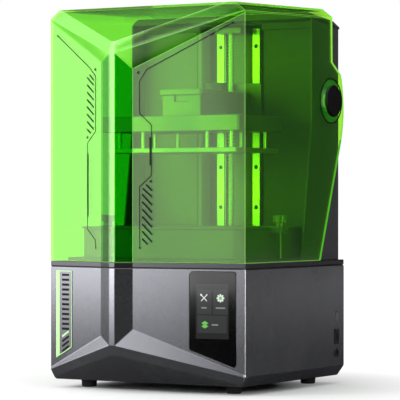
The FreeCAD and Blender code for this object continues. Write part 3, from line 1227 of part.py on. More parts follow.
def release_film():
    x, y = VAT_FLOOR_X + FILM_LAP, VAT_FLOOR_Y + FILM_LAP
    return block(-x, x, -y, y, BED_TOP_Z, BED_TOP_Z + FILM_THICK)


def vat_screw(x):
    waist_top = VAT_TOP_Z + VAT_KNOB_WAIST_HEIGHT
    knob = rod(VAT_KNOB_RADIUS, VAT_KNOB_HEIGHT - VAT_KNOB_WAIST_HEIGHT, Vector(x, 0, waist_top), UP)
    knob = fluted(knob, x, 0, VAT_KNOB_RADIUS, VAT_KNOB_FLUTE_RADIUS, VAT_KNOB_FLUTES)
    knob = knob.fuse(rod(VAT_KNOB_WAIST, VAT_KNOB_WAIST_HEIGHT, Vector(x, 0, VAT_TOP_Z), UP))
    end = BED_BOTTOM_Z + VAT_SCREW_END_GAP
    return knob.fuse(rod(VAT_SCREW_RADIUS, VAT_TOP_Z - end, Vector(x, 0, end), UP))


def tilt_pusher():
    body = rod(PUSHER_RADIUS, PUSHER_LENGTH, Vector(0, PUSHER_Y, PUSHER_BOTTOM_Z), UP)
    rim = [e for e in body.Edges if e.BoundBox.ZMin > PUSHER_TOP_Z - LAP]
    return body.makeChamfer(PUSHER_EDGE, rim)


def tilt_motor():
    motor = stepper(TILT_MOTOR_SIZE, TILT_MOTOR_HEIGHT, 0, PUSHER_Y, TILT_MOTOR_TOP_Z)
    motor = motor.fuse(rod(GUIDE_RADIUS, GUIDE_HEIGHT, Vector(0, PUSHER_Y, TILT_MOTOR_TOP_Z), UP))
    return motor.cut(rod(PUSHER_RADIUS + RUNNING_FIT, HEIGHT, Vector(0, PUSHER_Y, GUIDE_FLOOR_Z), UP))


def tilt_motor_stand():
    half, sheet = TILT_STAND_X / 2, TILT_STAND_SHEET
    top = TILT_MOTOR_TOP_Z - TILT_MOTOR_HEIGHT
    front = PUSHER_Y - TILT_MOTOR_SIZE / 2
    rear = front + TILT_STAND_Y
    stand = block(-half, half, front, rear, FLOOR_TOP_Z, top)
    half = half - sheet
    return stand.cut(block(-half, half, front - LAP, rear + LAP, FLOOR_TOP_Z - LAP, top - sheet))


# Lid and pivots

def lid_profile():
    """Side outline of the lid, closed well in front of it and above it."""
    foot = Vector(0, LID_FOOT_Y, LID_BOTTOM_Z)
    neck = Vector(0, PIVOT_Y + LID_NECK_RUN, PIVOT_Z + LID_NECK_RISE)
    bulge = Vector(0, PIVOT_Y + LID_BULGE_RUN, PIVOT_Z + LID_BULGE_RISE)
    nape = Vector(0, PIVOT_Y + LID_NAPE_RUN, PIVOT_Z + LID_NAPE_RISE)
    kink = Vector(0, PIVOT_Y + LID_KINK_RUN, LID_KINK_Z)
    top = Vector(0, LID_REAR_Y, HEIGHT)
    front_top, front_low = Vector(0, -DEPTH, HEIGHT), Vector(0, -DEPTH, LID_BOTTOM_Z)
    edges = [Part.LineSegment(front_low, foot), Part.LineSegment(foot, neck), Part.Arc(neck, bulge, nape),
             Part.LineSegment(nape, kink), Part.LineSegment(kink, top), Part.LineSegment(top, front_top),
             Part.LineSegment(front_top, front_low)]
    face = Part.Face(Part.Wire([e.toShape() for e in edges]))
    solid = face.extrude(Vector(2 * WIDTH, 0, 0))
    solid.translate(Vector(-WIDTH, 0, 0))
    return solid


def lid_shell(outer, inner):
    lid = outer.cut(inner).common(lid_profile())
    reach = HALF_X - LID_WALL
    lid = lid.cut(block(-reach, reach, LID_FOOT_Y, DEPTH, LID_BOTTOM_Z, LID_KINK_Z))
    for side in (-1, 1):
        out = Vector(side, 0, 0)
        face = Vector(side * HALF_X, PIVOT_Y, PIVOT_Z)
        collar = Part.makeCone(COLLAR_RADIUS, COLLAR_TOP_RADIUS, COLLAR_HEIGHT, face, out)
        lid = lid.fuse(collar)
        start = face - out * (2 * COLLAR_HEIGHT)
        lid = lid.cut(rod(PIVOT_RADIUS + RUNNING_FIT, 4 * COLLAR_HEIGHT, start, out))
    return lid


def pivot_ring():
    face = Vector(HALF_X, PIVOT_Y, PIVOT_Z)
    ring = rod(RING_OUTER_RADIUS, RING_HEIGHT, face, RIGHT)
    return ring.cut(rod(RING_INNER_RADIUS, RING_HEIGHT, face, RIGHT))


def pivot_cap():
    cap = rod(CAP_RADIUS, CAP_HEIGHT, Vector(COLLAR_X, PIVOT_Y, PIVOT_Z), RIGHT)
    rim = [e for e in cap.Edges if e.BoundBox.XMin > COLLAR_X + CAP_HEIGHT / 2]
    return cap.makeFillet(CAP_EDGE, rim)


def hinge_pin():
    nut = Vector(TOWER_INNER_X - PIVOT_NUT, PIVOT_Y, PIVOT_Z)
    pin = rod(PIVOT_NUT_RADIUS, PIVOT_NUT, nut, RIGHT)
    pin = pin.fuse(rod(PIVOT_STUB_RADIUS, TOWER_WALL, Vector(TOWER_INNER_X, PIVOT_Y, PIVOT_Z), RIGHT))
    pin = pin.fuse(rod(PIVOT_FLANGE_RADIUS, PIVOT_FLANGE, Vector(TOWER_X, PIVOT_Y, PIVOT_Z), RIGHT))
    reach = COLLAR_X - PIVOT_END_GAP - TOWER_X
    return pin.fuse(rod(PIVOT_RADIUS, reach, Vector(TOWER_X, PIVOT_Y, PIVOT_Z), RIGHT))


def build():
    outer = envelope(0)
    base_inner = envelope(BASE_WALL)
    lid_inner = envelope(LID_WALL)
    return {
        "base_housing": base_housing(outer, base_inner),
        "deck_gasket": deck_gasket(),
        "top_deck": top_deck(outer, base_inner),
        "bottom_plate": bottom_plate(),
        "bottom_screws": bottom_screws(),
        "rubber_feet": rubber_feet(),
        "touch_panel": touch_panel(),
        "display_module": display_module(),
        "side_badge": side_badge(),
        "usb_socket": usb_socket(),
        "switch_frame": switch_frame(),
        "power_rocker": power_rocker(),
        "power_inlet": power_inlet(),
        "heat_sink": heat_sink(),
        "led_board": led_board(),
        "light_reflector": light_reflector(),
        "collimating_lens": collimating_lens(),
        "mainboard": mainboard(),
        "fan_frame": fan_frame(),
        "fan_rotor": fan_rotor(),
        "z_motor": z_motor(),
        "z_motor_mount": z_motor_mount(),
        "tower_shell": tower_shell(),
        "tower_panel_right": tower_panel(),
        "tower_panel_left": mirrored(tower_panel()),
        "tower_cap": tower_cap(),
        "camera_module": camera_module(),
        "z_column": z_column(),
        "rail_right": rail(),
        "rail_left": mirrored(rail()),
        "rail_screws": rail_screws(),
        "upper_bearing": bearing_block(UPPER_BEARING_Z, UPPER_BEARING_HEIGHT),
        "lower_bearing": bearing_block(DECK_TOP_Z, LOWER_BEARING_HEIGHT),
        "ball_screw": ball_screw(),
        "shaft_coupler": shaft_coupler(),
        "slider_blocks": slider_blocks(),
        "carriage_plate": carriage_plate(),
        "ball_nut": ball_nut(),
        "platform_arm": platform_arm(),
        "mount_block": mount_block(),
        "leveling_head": leveling_head(),
        "leveling_posts": leveling_posts(),
        "build_plate": build_plate(),
        "clamp_knob": clamp_knob(),
        "tilt_bed": tilt_bed(),
        "bed_hinges": bed_hinges(),
        "mask_screen": mask_screen(),
        "resin_vat": resin_vat(),
        "release_film": release_film(),
        "vat_screw_right": vat_screw(VAT_SCREW_X),
        "vat_screw_left": vat_screw(-VAT_SCREW_X),
        "tilt_pusher": tilt_pusher(),
        "tilt_motor": tilt_motor(),
        "tilt_motor_stand": tilt_motor_stand(),
        "lid_shell": lid_shell(outer, lid_inner),
        "pivot_rings": Part.makeCompound([pivot_ring(), mirrored(pivot_ring())]),
        "pivot_cap_right": pivot_cap(),
        "pivot_cap_left": mirrored(pivot_cap()),
        "hinge_pin_right": hinge_pin(),
        "hinge_pin_left": mirrored(hinge_pin()),
    }


os.makedirs("parts", exist_ok=True)
for name, shape in build().items():
    shape.exportStep("parts/" + name + ".step")
    print(name, len(shape.Solids), shape.isValid(), round(shape.Volume / 1000, 2))
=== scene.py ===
import json
import math

import bmesh
import bpy
from mathutils import Matrix, Vector
from mathutils.bvhtree import BVHTree

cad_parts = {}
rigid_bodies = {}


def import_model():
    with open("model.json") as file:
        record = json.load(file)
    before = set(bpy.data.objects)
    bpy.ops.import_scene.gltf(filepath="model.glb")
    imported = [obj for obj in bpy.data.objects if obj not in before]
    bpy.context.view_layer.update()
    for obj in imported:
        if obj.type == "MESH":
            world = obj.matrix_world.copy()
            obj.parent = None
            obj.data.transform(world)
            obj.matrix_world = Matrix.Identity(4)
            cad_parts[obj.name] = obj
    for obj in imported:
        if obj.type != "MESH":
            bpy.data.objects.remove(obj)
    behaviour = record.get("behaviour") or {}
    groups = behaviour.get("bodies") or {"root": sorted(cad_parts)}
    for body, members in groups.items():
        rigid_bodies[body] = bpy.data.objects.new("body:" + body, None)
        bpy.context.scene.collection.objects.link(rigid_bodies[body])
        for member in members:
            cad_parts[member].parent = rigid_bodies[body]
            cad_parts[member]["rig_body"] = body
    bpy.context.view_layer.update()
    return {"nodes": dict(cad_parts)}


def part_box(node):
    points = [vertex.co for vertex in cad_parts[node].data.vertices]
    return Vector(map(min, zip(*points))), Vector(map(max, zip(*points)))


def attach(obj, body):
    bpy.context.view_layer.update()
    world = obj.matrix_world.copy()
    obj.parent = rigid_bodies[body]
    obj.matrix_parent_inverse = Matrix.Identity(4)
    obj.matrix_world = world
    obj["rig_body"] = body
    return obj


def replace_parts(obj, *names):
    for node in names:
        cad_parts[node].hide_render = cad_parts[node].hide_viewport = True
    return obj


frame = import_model()

# The view: a long lens a little to the right of the front, level with the middle of the printer.
# Its horizon is level and the picture is square, so a picture point gives one straight ray.
VIEW_TURN = math.radians(31.38)
VIEW_PLACE = Vector((1.79211, -2.91694, 0.26890))
SENSOR_MM = 36.0
LENS_MM = 212.81
PICTURE = 400.0

view_forward = Vector((-math.sin(VIEW_TURN), math.cos(VIEW_TURN), 0.0))
view_right = Vector((math.cos(VIEW_TURN), math.sin(VIEW_TURN), 0.0))
lens = bpy.data.cameras.new("view_lens")
lens.lens = LENS_MM
lens.sensor_width = SENSOR_MM
view = bpy.data.objects.new("view", lens)
view.location = VIEW_PLACE
view.rotation_euler = (math.pi / 2, 0.0, VIEW_TURN)
bpy.context.scene.collection.objects.link(view)
bpy.context.scene.camera = view
bpy.context.scene.view_settings.view_transform = "Standard"


def picture_ray(u, v):
    """Direction from the lens through a point of the square picture, counted from its top left."""
    reach = LENS_MM / SENSOR_MM * PICTURE
    across = view_right * ((u - PICTURE / 2) / reach)
    up = Vector((0.0, 0.0, (PICTURE / 2 - v) / reach))
    return (view_forward + across + up).normalized()


# Base housing: a folded box with a keel down its front and a sunk cheek either side of it.
# Sheet metal sprayed in a satin metallic grey, with edges just broken by the paint. The broken edge on
# the right front corner is painted a lighter grey as a painted highlight.
HOUSING_GREY = (0.172, 0.173, 0.190)
HOUSING_EDGE = 0.0010
SHEET_CREASE, MOULDED_CREASE, MACHINED_CREASE = 6.0, 12.0, 30.0
PAINT_GRAIN, CLOUD = 2600.0, 11.0
# Lighter grey of the painted highlight on the right front corner's broken edge.
CORNER_HIGHLIGHT_GREY = (0.58, 0.585, 0.60)
CORNER_X, CORNER_Y = 0.159, -0.118


class Shade:
    """One socket of a material's node tree. Sums and products of sockets become Math nodes."""

    def __init__(self, tree, socket=None):
        self.tree = tree
        self.socket = socket

    def node(self, kind, settings, inputs, output=0):
        made = self.tree.nodes.new(kind)
        for name, value in settings.items():
            setattr(made, name, value)
        for name, value in inputs.items():
            if isinstance(value, Shade):
                self.tree.links.new(value.socket, made.inputs[name])
            else:
                made.inputs[name].default_value = value
        return Shade(self.tree, made.outputs[output] if made.outputs else None)

    def math(self, operation, first, second):
        return self.node("ShaderNodeMath", {"operation": operation}, {0: first, 1: second})

    def __add__(self, other):
        return self.math("ADD", self, other)

    __radd__ = __add__

    def __mul__(self, other):
        return self.math("MULTIPLY", self, other)

    __rmul__ = __mul__

    def __sub__(self, other):
        return self.math("SUBTRACT", self, other)

    def __rsub__(self, other):
        return self.math("SUBTRACT", other, self)

    def __pow__(self, other):
        return self.math("POWER", self, other)

    def __gt__(self, other):
        return self.math("GREATER_THAN", self, other)

    def place(self, stretch=(1.0, 1.0, 1.0)):
        there = self.node("ShaderNodeTexCoord", {}, {}, "Object")
        return self.node("ShaderNodeMapping", {}, {"Vector": there, "Scale": stretch})

    def along(self, axis):
        """Distance along one axis of the piece."""
        return self.node("ShaderNodeSeparateXYZ", {}, {"Vector": self.place()}, axis)

    def noise(self, scale, stretch=(1.0, 1.0, 1.0)):
        spots = {"Vector": self.place(stretch), "Scale": scale, "Detail": 3.0}
        return self.node("ShaderNodeTexNoise", {}, spots)

    def tint(self, colour, amount):
        scaled = {0: colour[:3], "Scale": amount}
        return self.node("ShaderNodeVectorMath", {"operation": "SCALE"}, scaled)

    def mix(self, factor, first, second):
        pair = {0: factor, 6: first, 7: second}
        return self.node("ShaderNodeMix", {"data_type": "RGBA"}, pair, 2)


def blank(name):
    made = bpy.data.materials.new(name)
    made.use_nodes = True
    made.node_tree.nodes.clear()
    return made, Shade(made.node_tree)


def surface(shade, shader):
    shade.node("ShaderNodeOutputMaterial", {}, {"Surface": shader})


def finish(name, colour, roughness, metallic=0.0, grain=900.0, stretch=(1.0, 1.0, 1.0),
           depth=0.00004, mottle=0.12, shine=0.5):
    """A surface with one fine grain in its colour, gloss and relief, and a broad faint cloud."""
    made, shade = blank(name)
    fine = shade.noise(grain, stretch)
    broad = shade.noise(CLOUD)
    tone = 1.0 + (fine - 0.5) * mottle + (broad - 0.5) * mottle
    relief = shade.node("ShaderNodeBump", {}, {"Height": fine, "Distance": depth})
    surface(shade, shade.node("ShaderNodeBsdfPrincipled", {}, {
        "Base Color": shade.tint(colour, tone),
        "Roughness": roughness + (fine - 0.5) * 0.10 + (broad - 0.5) * 0.08,
        "Metallic": metallic,
        "Specular IOR Level": shine,
        "Normal": relief,
    }))
    return made


MERGE = 0.000002
FLAT = math.radians(0.5)


def dress(material, *names):
    """Gives CAD pieces their finish as they stand."""
    for name in names:
        mesh = frame["nodes"][name].data
        mesh.materials.clear()
        mesh.materials.append(material)


def add_piece(name, mesh, body):
    piece = bpy.data.objects.new(name, mesh)
    bpy.context.scene.collection.objects.link(piece)
    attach(piece, body)
    return piece


def welded_copy(name):
    """The CAD piece's mesh with its loose triangles joined and its flat faces whole."""
    mesh = frame["nodes"][name].data.copy()
    shape = bmesh.new()
    shape.from_mesh(mesh)
    bmesh.ops.remove_doubles(shape, verts=shape.verts, dist=MERGE)
    bmesh.ops.dissolve_limit(shape, angle_limit=FLAT, verts=shape.verts, edges=shape.edges)
    shape.to_mesh(mesh)
    shape.free()
    mesh.materials.clear()
    if "custom_normal" in mesh.attributes:
        mesh.attributes.remove(mesh.attributes["custom_normal"])
    return mesh


def soften(name, edge, crease, materials):
    """Stands in for a CAD piece with the same piece, its sharp edges broken."""
    mesh = welded_copy(name)
    for material in materials:
        mesh.materials.append(material)
    mesh.shade_smooth()
    piece = add_piece(name + "_finished", mesh, frame["nodes"][name]["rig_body"])
    broken = piece.modifiers.new("broken_edges", "BEVEL")
    broken.width = edge
    broken.segments = 2
    broken.limit_method = "ANGLE"
    broken.angle_limit = math.radians(crease)
    broken.harden_normals = True
    broken.use_clamp_overlap = False
    broken.material = len(materials) - 1
    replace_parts(piece, name)
    return piece


grey_paint = finish("grey_paint", HOUSING_GREY, 0.26, metallic=0.92, grain=PAINT_GRAIN, depth=0.00002,
                    mottle=0.16)
# The broken edges take the housing grey, except the right front corner, which gets a painted highlight.
edge_paint_with_highlight, shade = blank("edge_paint_with_highlight")
corner_highlight_mask = (shade.along("X") > CORNER_X) * (1.0 - (shade.along("Y") > CORNER_Y))
surface(shade, shade.node("ShaderNodeBsdfPrincipled", {}, {
    "Base Color": shade.mix(corner_highlight_mask, (*HOUSING_GREY, 1.0), (*CORNER_HIGHLIGHT_GREY, 1.0)),
    "Roughness": 0.22 + shade.noise(PAINT_GRAIN) * 0.08,
    "Metallic": 0.92,
}))
soften("base_housing", HOUSING_EDGE, SHEET_CREASE, [grey_paint, edge_paint_with_highlight])

# Deck: a painted rim and plate over the housing, kept off it by a gasket in the seam, coloured near
# black as painted shade for the shadow gap there. The rim follows the housing's outline, and the lid closes
# onto it.
DECK_GREY = (0.066, 0.066, 0.072)
seam_shade_black = finish("seam_shade_black", (0.012, 0.012, 0.013), 0.7, grain=1500.0)
deck_paint = finish("deck_paint", DECK_GREY, 0.30, metallic=0.92, grain=PAINT_GRAIN, depth=0.00002,
                    mottle=0.16)
soften("top_deck", HOUSING_EDGE, SHEET_CREASE, [deck_paint])
# The seam gasket's near black is painted shade.
dress(seam_shade_black, "deck_gasket")

# Underside: a stamped black plate screwed into the floor, and four turned rubber feet.
# The screws are zinc plated; the rubber is matt and slightly dusty.
black_sheet = finish("black_sheet", (0.022, 0.022, 0.024), 0.45, metallic=0.3, grain=1800.0)
zinc = finish("zinc_plate", (0.55, 0.55, 0.53), 0.32, metallic=1.0, grain=1400.0)
rubber = finish("foot_rubber", (0.014, 0.014, 0.015), 0.82, grain=2200.0, depth=0.0001, mottle=0.3)
dress(black_sheet, "bottom_plate", "tilt_motor_stand", "z_motor_mount")
dress(zinc, "bottom_screws")
dress(rubber, "rubber_feet")

# Touch panel: black cover glass with a slanted lower edge, bonded into the right cheek.
# A display module sits behind it, and its lit tiles show through the glass.
CHEEK_CORNER = Vector((0.162, -0.1252))
CHEEK_FLANK = Vector((-0.0062, -0.1495))
GLASS_LIFT = 0.0004
GLASS_GLOSS = 0.10
GLASS_EDGE, GLASS_CREASE = 0.0003, 25.0
PRINT_LIFT = 0.0002
DISPLAY = (0.0244, 0.0735, 0.0778, 0.1535)
TILES = ((0.0498, 0.0709, 0.1116, 0.1456), (0.0260, 0.0477, 0.1116, 0.1456),
         (0.0275, 0.0709, 0.0860, 0.1101))
ICON_LIFT = 0.0001
TOOL_S, GEAR_S, LAYER_S = 0.0612, 0.0366, 0.0598
ICON_Z, LAYER_Z, LABEL_Z = 0.1340, 0.0972, 0.1205
TOOL_ARM, TOOL_WIDTH, TOOL_HEAD, TOOL_TIP = 0.0043, 0.0012, 0.0015, 0.0010
GEAR_TEETH = 8
GEAR_BODY, GEAR_BORE, GEAR_ROOT, GEAR_TIP, TOOTH_WIDTH = 0.0042, 0.0025, 0.0026, 0.0057, 0.0022
LABEL_WIDTH = 0.0020
LABELS = ((0.0572, 0.0652, LABEL_Z), (0.0296, 0.0436, LABEL_Z), (0.0400, 0.0495, LAYER_Z))
LAYER_REACH, LAYER_RISE, LAYER_STEP = 0.0052, 0.0031, 0.0021


def cheek_frame(corner, flank):
    """Matrix from (distance inwards from the outer corner, height, distance out) to the printer."""
    inward = (flank - corner).normalized()
    out = Vector((-inward.y, inward.x))
    if out.y > 0.0:
        out = -out
    columns = Matrix(((inward.x, 0.0, out.x), (inward.y, 0.0, out.y), (0.0, 1.0, 0.0)))
    return Matrix.Translation((corner.x, corner.y, 0.0)) @ columns.to_4x4()


def flat_print(name, outlines, placed, lift, material, body):
    """Thin printed shapes on a flat face, from outlines of (distance, height)."""
    shape = bmesh.new()
    for outline in outlines:
        corners = [shape.verts.new(placed @ Vector((s, z, lift))) for s, z in outline]
        shape.faces.new(corners)
    outward = placed.to_3x3() @ Vector((0.0, 0.0, 1.0))
    for face in shape.faces:
        face.normal_update()
        if face.normal.dot(outward) < 0.0:
            face.normal_flip()
    mesh = bpy.data.meshes.new(name)
    shape.to_mesh(mesh)
    shape.free()
    mesh.materials.append(material)
    return add_piece(name, mesh, body)


def box_outline(s0, s1, z0, z1):
    return [(s0, z0), (s1, z0), (s1, z1), (s0, z1)]


def bar(start, end, width):
    """Outline of a straight bar between two points."""
    start, end = Vector(start), Vector(end)
    side = (end - start).orthogonal().normalized() * (width / 2)
    return [tuple(start + side), tuple(end + side), tuple(end - side), tuple(start - side)]


def disc(centre, radius, sides=14):
    turns = [2 * math.pi * i / sides for i in range(sides)]
    return [(centre[0] + radius * math.cos(t), centre[1] + radius * math.sin(t)) for t in turns]


def lit(name, colour):
    """A lit part of the display behind the glass, with the faint grid of its picture elements."""
    made, shade = blank(name)
    grid = shade.node("ShaderNodeTexChecker", {}, {"Vector": shade.place(), "Scale": 5000.0}, "Fac")
    surface(shade, shade.node("ShaderNodeBsdfPrincipled", {}, {
        "Base Color": (0.001, 0.001, 0.001, 1.0),
        "Roughness": GLASS_GLOSS,
        "Emission Color": shade.tint(colour, 0.94 + grid * 0.12),
        "Emission Strength": 1.0,
    }))
    return made


cover_glass = finish("cover_glass", (0.001, 0.001, 0.001), GLASS_GLOSS, grain=300.0, depth=0.0,
                     mottle=0.1)
display_black = finish("display_black", (0.01, 0.01, 0.011), 0.5)
soften("touch_panel", GLASS_EDGE, GLASS_CREASE, [cover_glass])
dress(display_black, "display_module")

right_cheek = cheek_frame(CHEEK_CORNER, CHEEK_FLANK)
glass = GLASS_LIFT + PRINT_LIFT
flat_print("display_field", [box_outline(*DISPLAY)], right_cheek, glass,
           lit("display_field", (0.022, 0.022, 0.023)), "base")
flat_print("display_tiles", [box_outline(*t) for t in TILES], right_cheek, glass + ICON_LIFT,
           lit("display_tile", (0.042, 0.043, 0.043)), "base")

tool_left, tool_right = TOOL_S - TOOL_ARM, TOOL_S + TOOL_ARM
tool_low, tool_high = ICON_Z - TOOL_ARM, ICON_Z + TOOL_ARM
tools = [bar((tool_left, tool_low), (tool_right, tool_high), TOOL_WIDTH),
         bar((tool_left, tool_high), (tool_right, tool_low), TOOL_WIDTH),
         disc((tool_right, tool_high), TOOL_HEAD), disc((tool_left, tool_high), TOOL_TIP)]
gear = [disc((GEAR_S, ICON_Z), GEAR_BODY, 24)]
for tooth in range(GEAR_TEETH):
    t = 2 * math.pi * tooth / GEAR_TEETH
    root = (GEAR_S + GEAR_ROOT * math.cos(t), ICON_Z + GEAR_ROOT * math.sin(t))
    tip = (GEAR_S + GEAR_TIP * math.cos(t), ICON_Z + GEAR_TIP * math.sin(t))
    gear.append(bar(root, tip, TOOTH_WIDTH))
flat_print("display_icons", tools + gear, right_cheek, glass + 2 * ICON_LIFT,
           lit("display_white", (0.80, 0.84, 0.80)), "base")
labels = [bar((start, z), (end, z), LABEL_WIDTH) for start, end, z in LABELS]
flat_print("display_labels", labels, right_cheek, glass + 2 * ICON_LIFT,
           lit("display_grey", (0.24, 0.25, 0.24)), "base")
layers = [disc((GEAR_S, ICON_Z), GEAR_BORE)]
for z in (LAYER_Z - LAYER_STEP, LAYER_Z + LAYER_STEP):
    layers.append([(LAYER_S - LAYER_REACH, z), (LAYER_S, z - LAYER_RISE),
                   (LAYER_S + LAYER_REACH, z), (LAYER_S, z + LAYER_RISE)])
flat_print("display_layers", layers, right_cheek, glass + 3 * ICON_LIFT,
           lit("display_green", (0.16, 0.56, 0.11)), "base")

# Badge: a thin plate on the left cheek in the housing's own grey, printed with a fine green border,
# a broad green bar along its outer edge, a ladder of plain black bars and a few slanted stripes.
BADGE_FLANK = Vector((-0.0592, -0.1495))
BADGE_OUTER, BADGE_INNER, BADGE_TOP, BADGE_LOW, BADGE_RISE = 0.012, 0.0455, 0.168, 0.0425, 0.016
BADGE_LIFT = 0.0006
BADGE_BAR = 0.0080
BADGE_TICK = ((0.0255, 0.0738), (0.0393, 0.0817), 0.0026)
BORDER = 0.0011
BADGE_ROWS = (
    ("badge_stripes", 3, 0.0070, 0.0165, 0.0030, -60.0, (0.0324, 0.0567)),
    ("badge_ladder", 12, 0.0070, 0.0150, 0.0032, -90.0, (0.0324, 0.0850)),
)
left_cheek = cheek_frame(Vector((-CHEEK_CORNER.x, CHEEK_CORNER.y)), BADGE_FLANK)
badge_plate = finish("badge_plate", HOUSING_GREY, 0.30, metallic=0.92, grain=PAINT_GRAIN)
print_green = finish("print_green", (0.40, 0.70, 0.29), 0.6, grain=1200.0, shine=0.2)
print_black = finish("print_black", (0.008, 0.008, 0.009), 0.65, grain=1200.0, shine=0.1)
dress(badge_plate, "side_badge")


def grown(name, tree, sizes):
    """Runs a node tree once with the given sizes and returns the plain mesh that it makes."""
    holder = bpy.data.objects.new(name + "_layout", bpy.data.meshes.new(name + "_layout"))
    bpy.context.scene.collection.objects.link(holder)
    modifier = holder.modifiers.new("layout", "NODES")
    modifier.node_group = tree
    for socket in tree.interface.items_tree:
        if socket.in_out == "INPUT" and socket.name in sizes:
            modifier[socket.identifier] = sizes[socket.name]
    evaluated = holder.evaluated_get(bpy.context.evaluated_depsgraph_get())
    mesh = bpy.data.meshes.new_from_object(evaluated)
    holder.modifiers.remove(modifier)
    bpy.data.objects.remove(holder)
    return mesh


def stripe_row(name, count, pitch, length, width, lean, material):
    """A row of like slanted stripes in a plane, laid out by a node tree with its sizes as inputs."""
    tree = bpy.data.node_groups.new(name, "GeometryNodeTree")
    sizes = {"Count": ("NodeSocketInt", count), "Pitch": ("NodeSocketFloat", pitch),
             "Length": ("NodeSocketFloat", length), "Width": ("NodeSocketFloat", width),
             "Lean": ("NodeSocketFloat", lean)}
    for label, (kind, _) in sizes.items():
        tree.interface.new_socket(label, in_out="INPUT", socket_type=kind)
    tree.interface.new_socket("Geometry", in_out="OUTPUT", socket_type="NodeSocketGeometry")
    given = tree.nodes.new("NodeGroupInput")
    stripe = tree.nodes.new("GeometryNodeMeshGrid")
    stripe.inputs["Vertices X"].default_value = 2
    stripe.inputs["Vertices Y"].default_value = 2
    step = tree.nodes.new("ShaderNodeCombineXYZ")
    row = tree.nodes.new("GeometryNodeMeshLine")
    turn = tree.nodes.new("ShaderNodeCombineXYZ")
    spread = tree.nodes.new("GeometryNodeInstanceOnPoints")
    real = tree.nodes.new("GeometryNodeRealizeInstances")
    coat = tree.nodes.new("GeometryNodeSetMaterial")
    coat.inputs["Material"].default_value = material
    result = tree.nodes.new("NodeGroupOutput")
    for start, end in (
        (given.outputs["Width"], stripe.inputs["Size X"]),
        (given.outputs["Length"], stripe.inputs["Size Y"]),
        (given.outputs["Pitch"], step.inputs["Y"]),
        (given.outputs["Count"], row.inputs["Count"]),
        (step.outputs["Vector"], row.inputs["Offset"]),
        (given.outputs["Lean"], turn.inputs["Z"]),
        (row.outputs["Mesh"], spread.inputs["Points"]),
        (stripe.outputs["Mesh"], spread.inputs["Instance"]),
        (turn.outputs["Vector"], spread.inputs["Rotation"]),
        (spread.outputs["Instances"], real.inputs["Geometry"]),
        (real.outputs["Geometry"], coat.inputs["Geometry"]),
        (coat.outputs["Geometry"], result.inputs["Geometry"]),
    ):
        tree.links.new(start, end)
    return grown(name, tree, {label: value for label, (_, value) in sizes.items()})


slope = BADGE_RISE / (BADGE_INNER - BADGE_OUTER)
low, high = BADGE_LOW + BORDER, BADGE_TOP - BORDER / 2
outer, inner = BADGE_OUTER + BORDER / 2, BADGE_INNER - BORDER / 2
bar_edge = BADGE_OUTER + BADGE_BAR
border = [bar((outer, high), (inner, high), BORDER),
          bar((inner, high), (inner, low + BADGE_RISE), BORDER),
          bar((inner, low + BADGE_RISE), (outer, low), BORDER),
          [(outer, low), (bar_edge, low + slope * BADGE_BAR), (bar_edge, high), (outer, high)],
          bar(*BADGE_TICK)]
flat_print("badge_border", border, left_cheek, BADGE_LIFT + PRINT_LIFT, print_green, "base")
for name, count, pitch, length, width, lean, place in BADGE_ROWS:
    stripes = stripe_row(name, count, pitch, length, width, math.radians(lean), print_black)
    stripes.transform(left_cheek @ Matrix.Translation((*place, BADGE_LIFT + PRINT_LIFT)))
    add_piece(name, stripes, "base")

# Sockets: a folded steel USB shell, a black rocker switch in its frame and a round DC inlet,
# all set into the right side near the rear.
ROCKER_EDGE = 0.0005
port_plastic = finish("port_plastic", (0.012, 0.012, 0.013), 0.4, grain=1600.0)
dress(zinc, "usb_socket")
dress(port_plastic, "switch_frame", "power_inlet", "camera_module")
soften("power_rocker", ROCKER_EDGE, MACHINED_CREASE, [port_plastic])

# Light engine and electronics, closed in under the screen: a finned sink, lamp board, white
# reflector, clear lens, control board, fan, and a black stepper motor for each drive.
dark_alloy = finish("dark_alloy", (0.05, 0.05, 0.055), 0.42, metallic=0.6, grain=1500.0)
bare_alloy = finish("bare_alloy", (0.62, 0.63, 0.64), 0.30, metallic=0.9, grain=700.0,
                    stretch=(1.0, 1.0, 0.06))
lamp_white = finish("lamp_white", (0.8, 0.8, 0.76), 0.4)
reflector_white = finish("reflector_white", (0.8, 0.8, 0.8), 0.35, grain=1800.0)
motor_black = finish("motor_black", (0.02, 0.02, 0.022), 0.4, metallic=0.4)
fan_black = finish("fan_black", (0.016, 0.016, 0.017), 0.5, grain=1400.0)


def circuit_board(name, colour, track):
    """Lacquered board with fine tracks and pads."""
    made, shade = blank(name)
    cells = shade.node("ShaderNodeTexVoronoi", {"distance": "MANHATTAN", "feature": "DISTANCE_TO_EDGE"},
                       {"Vector": shade.place(), "Scale": 190.0}, "Distance")
    tracks = 1.0 - (cells > 0.06)
    surface(shade, shade.node("ShaderNodeBsdfPrincipled", {}, {
        "Base Color": shade.mix(tracks, (*colour, 1.0), (*track, 1.0)),
        "Roughness": 0.45 - tracks * 0.15,
        "Normal": shade.node("ShaderNodeBump", {}, {"Height": tracks, "Distance": 0.00005}),
    }))
    return made


def mirrored(shade):
    """Share of the light that a clear face mirrors: little seen square on, all of it edge on."""
    facing = shade.node("ShaderNodeLayerWeight", {}, {"Blend": 0.5}, "Facing")
    return 0.04 + 0.96 * facing ** 5.0


def clear(name, tint, roughness):
    """Clear plastic: tinted light goes straight through, and a little is mirrored off its face."""
    made, shade = blank(name)
    film = shade.noise(60.0)
    through = shade.node("ShaderNodeBsdfTransparent", {}, {"Color": (*tint, 1.0)})
    face = shade.node("ShaderNodeBsdfPrincipled", {}, {
        "Base Color": (*tint, 1.0),
        "Roughness": roughness + film * 0.04,
    })
    surface(shade, shade.node("ShaderNodeMixShader", {}, {0: mirrored(shade), 1: through, 2: face}))
    return made


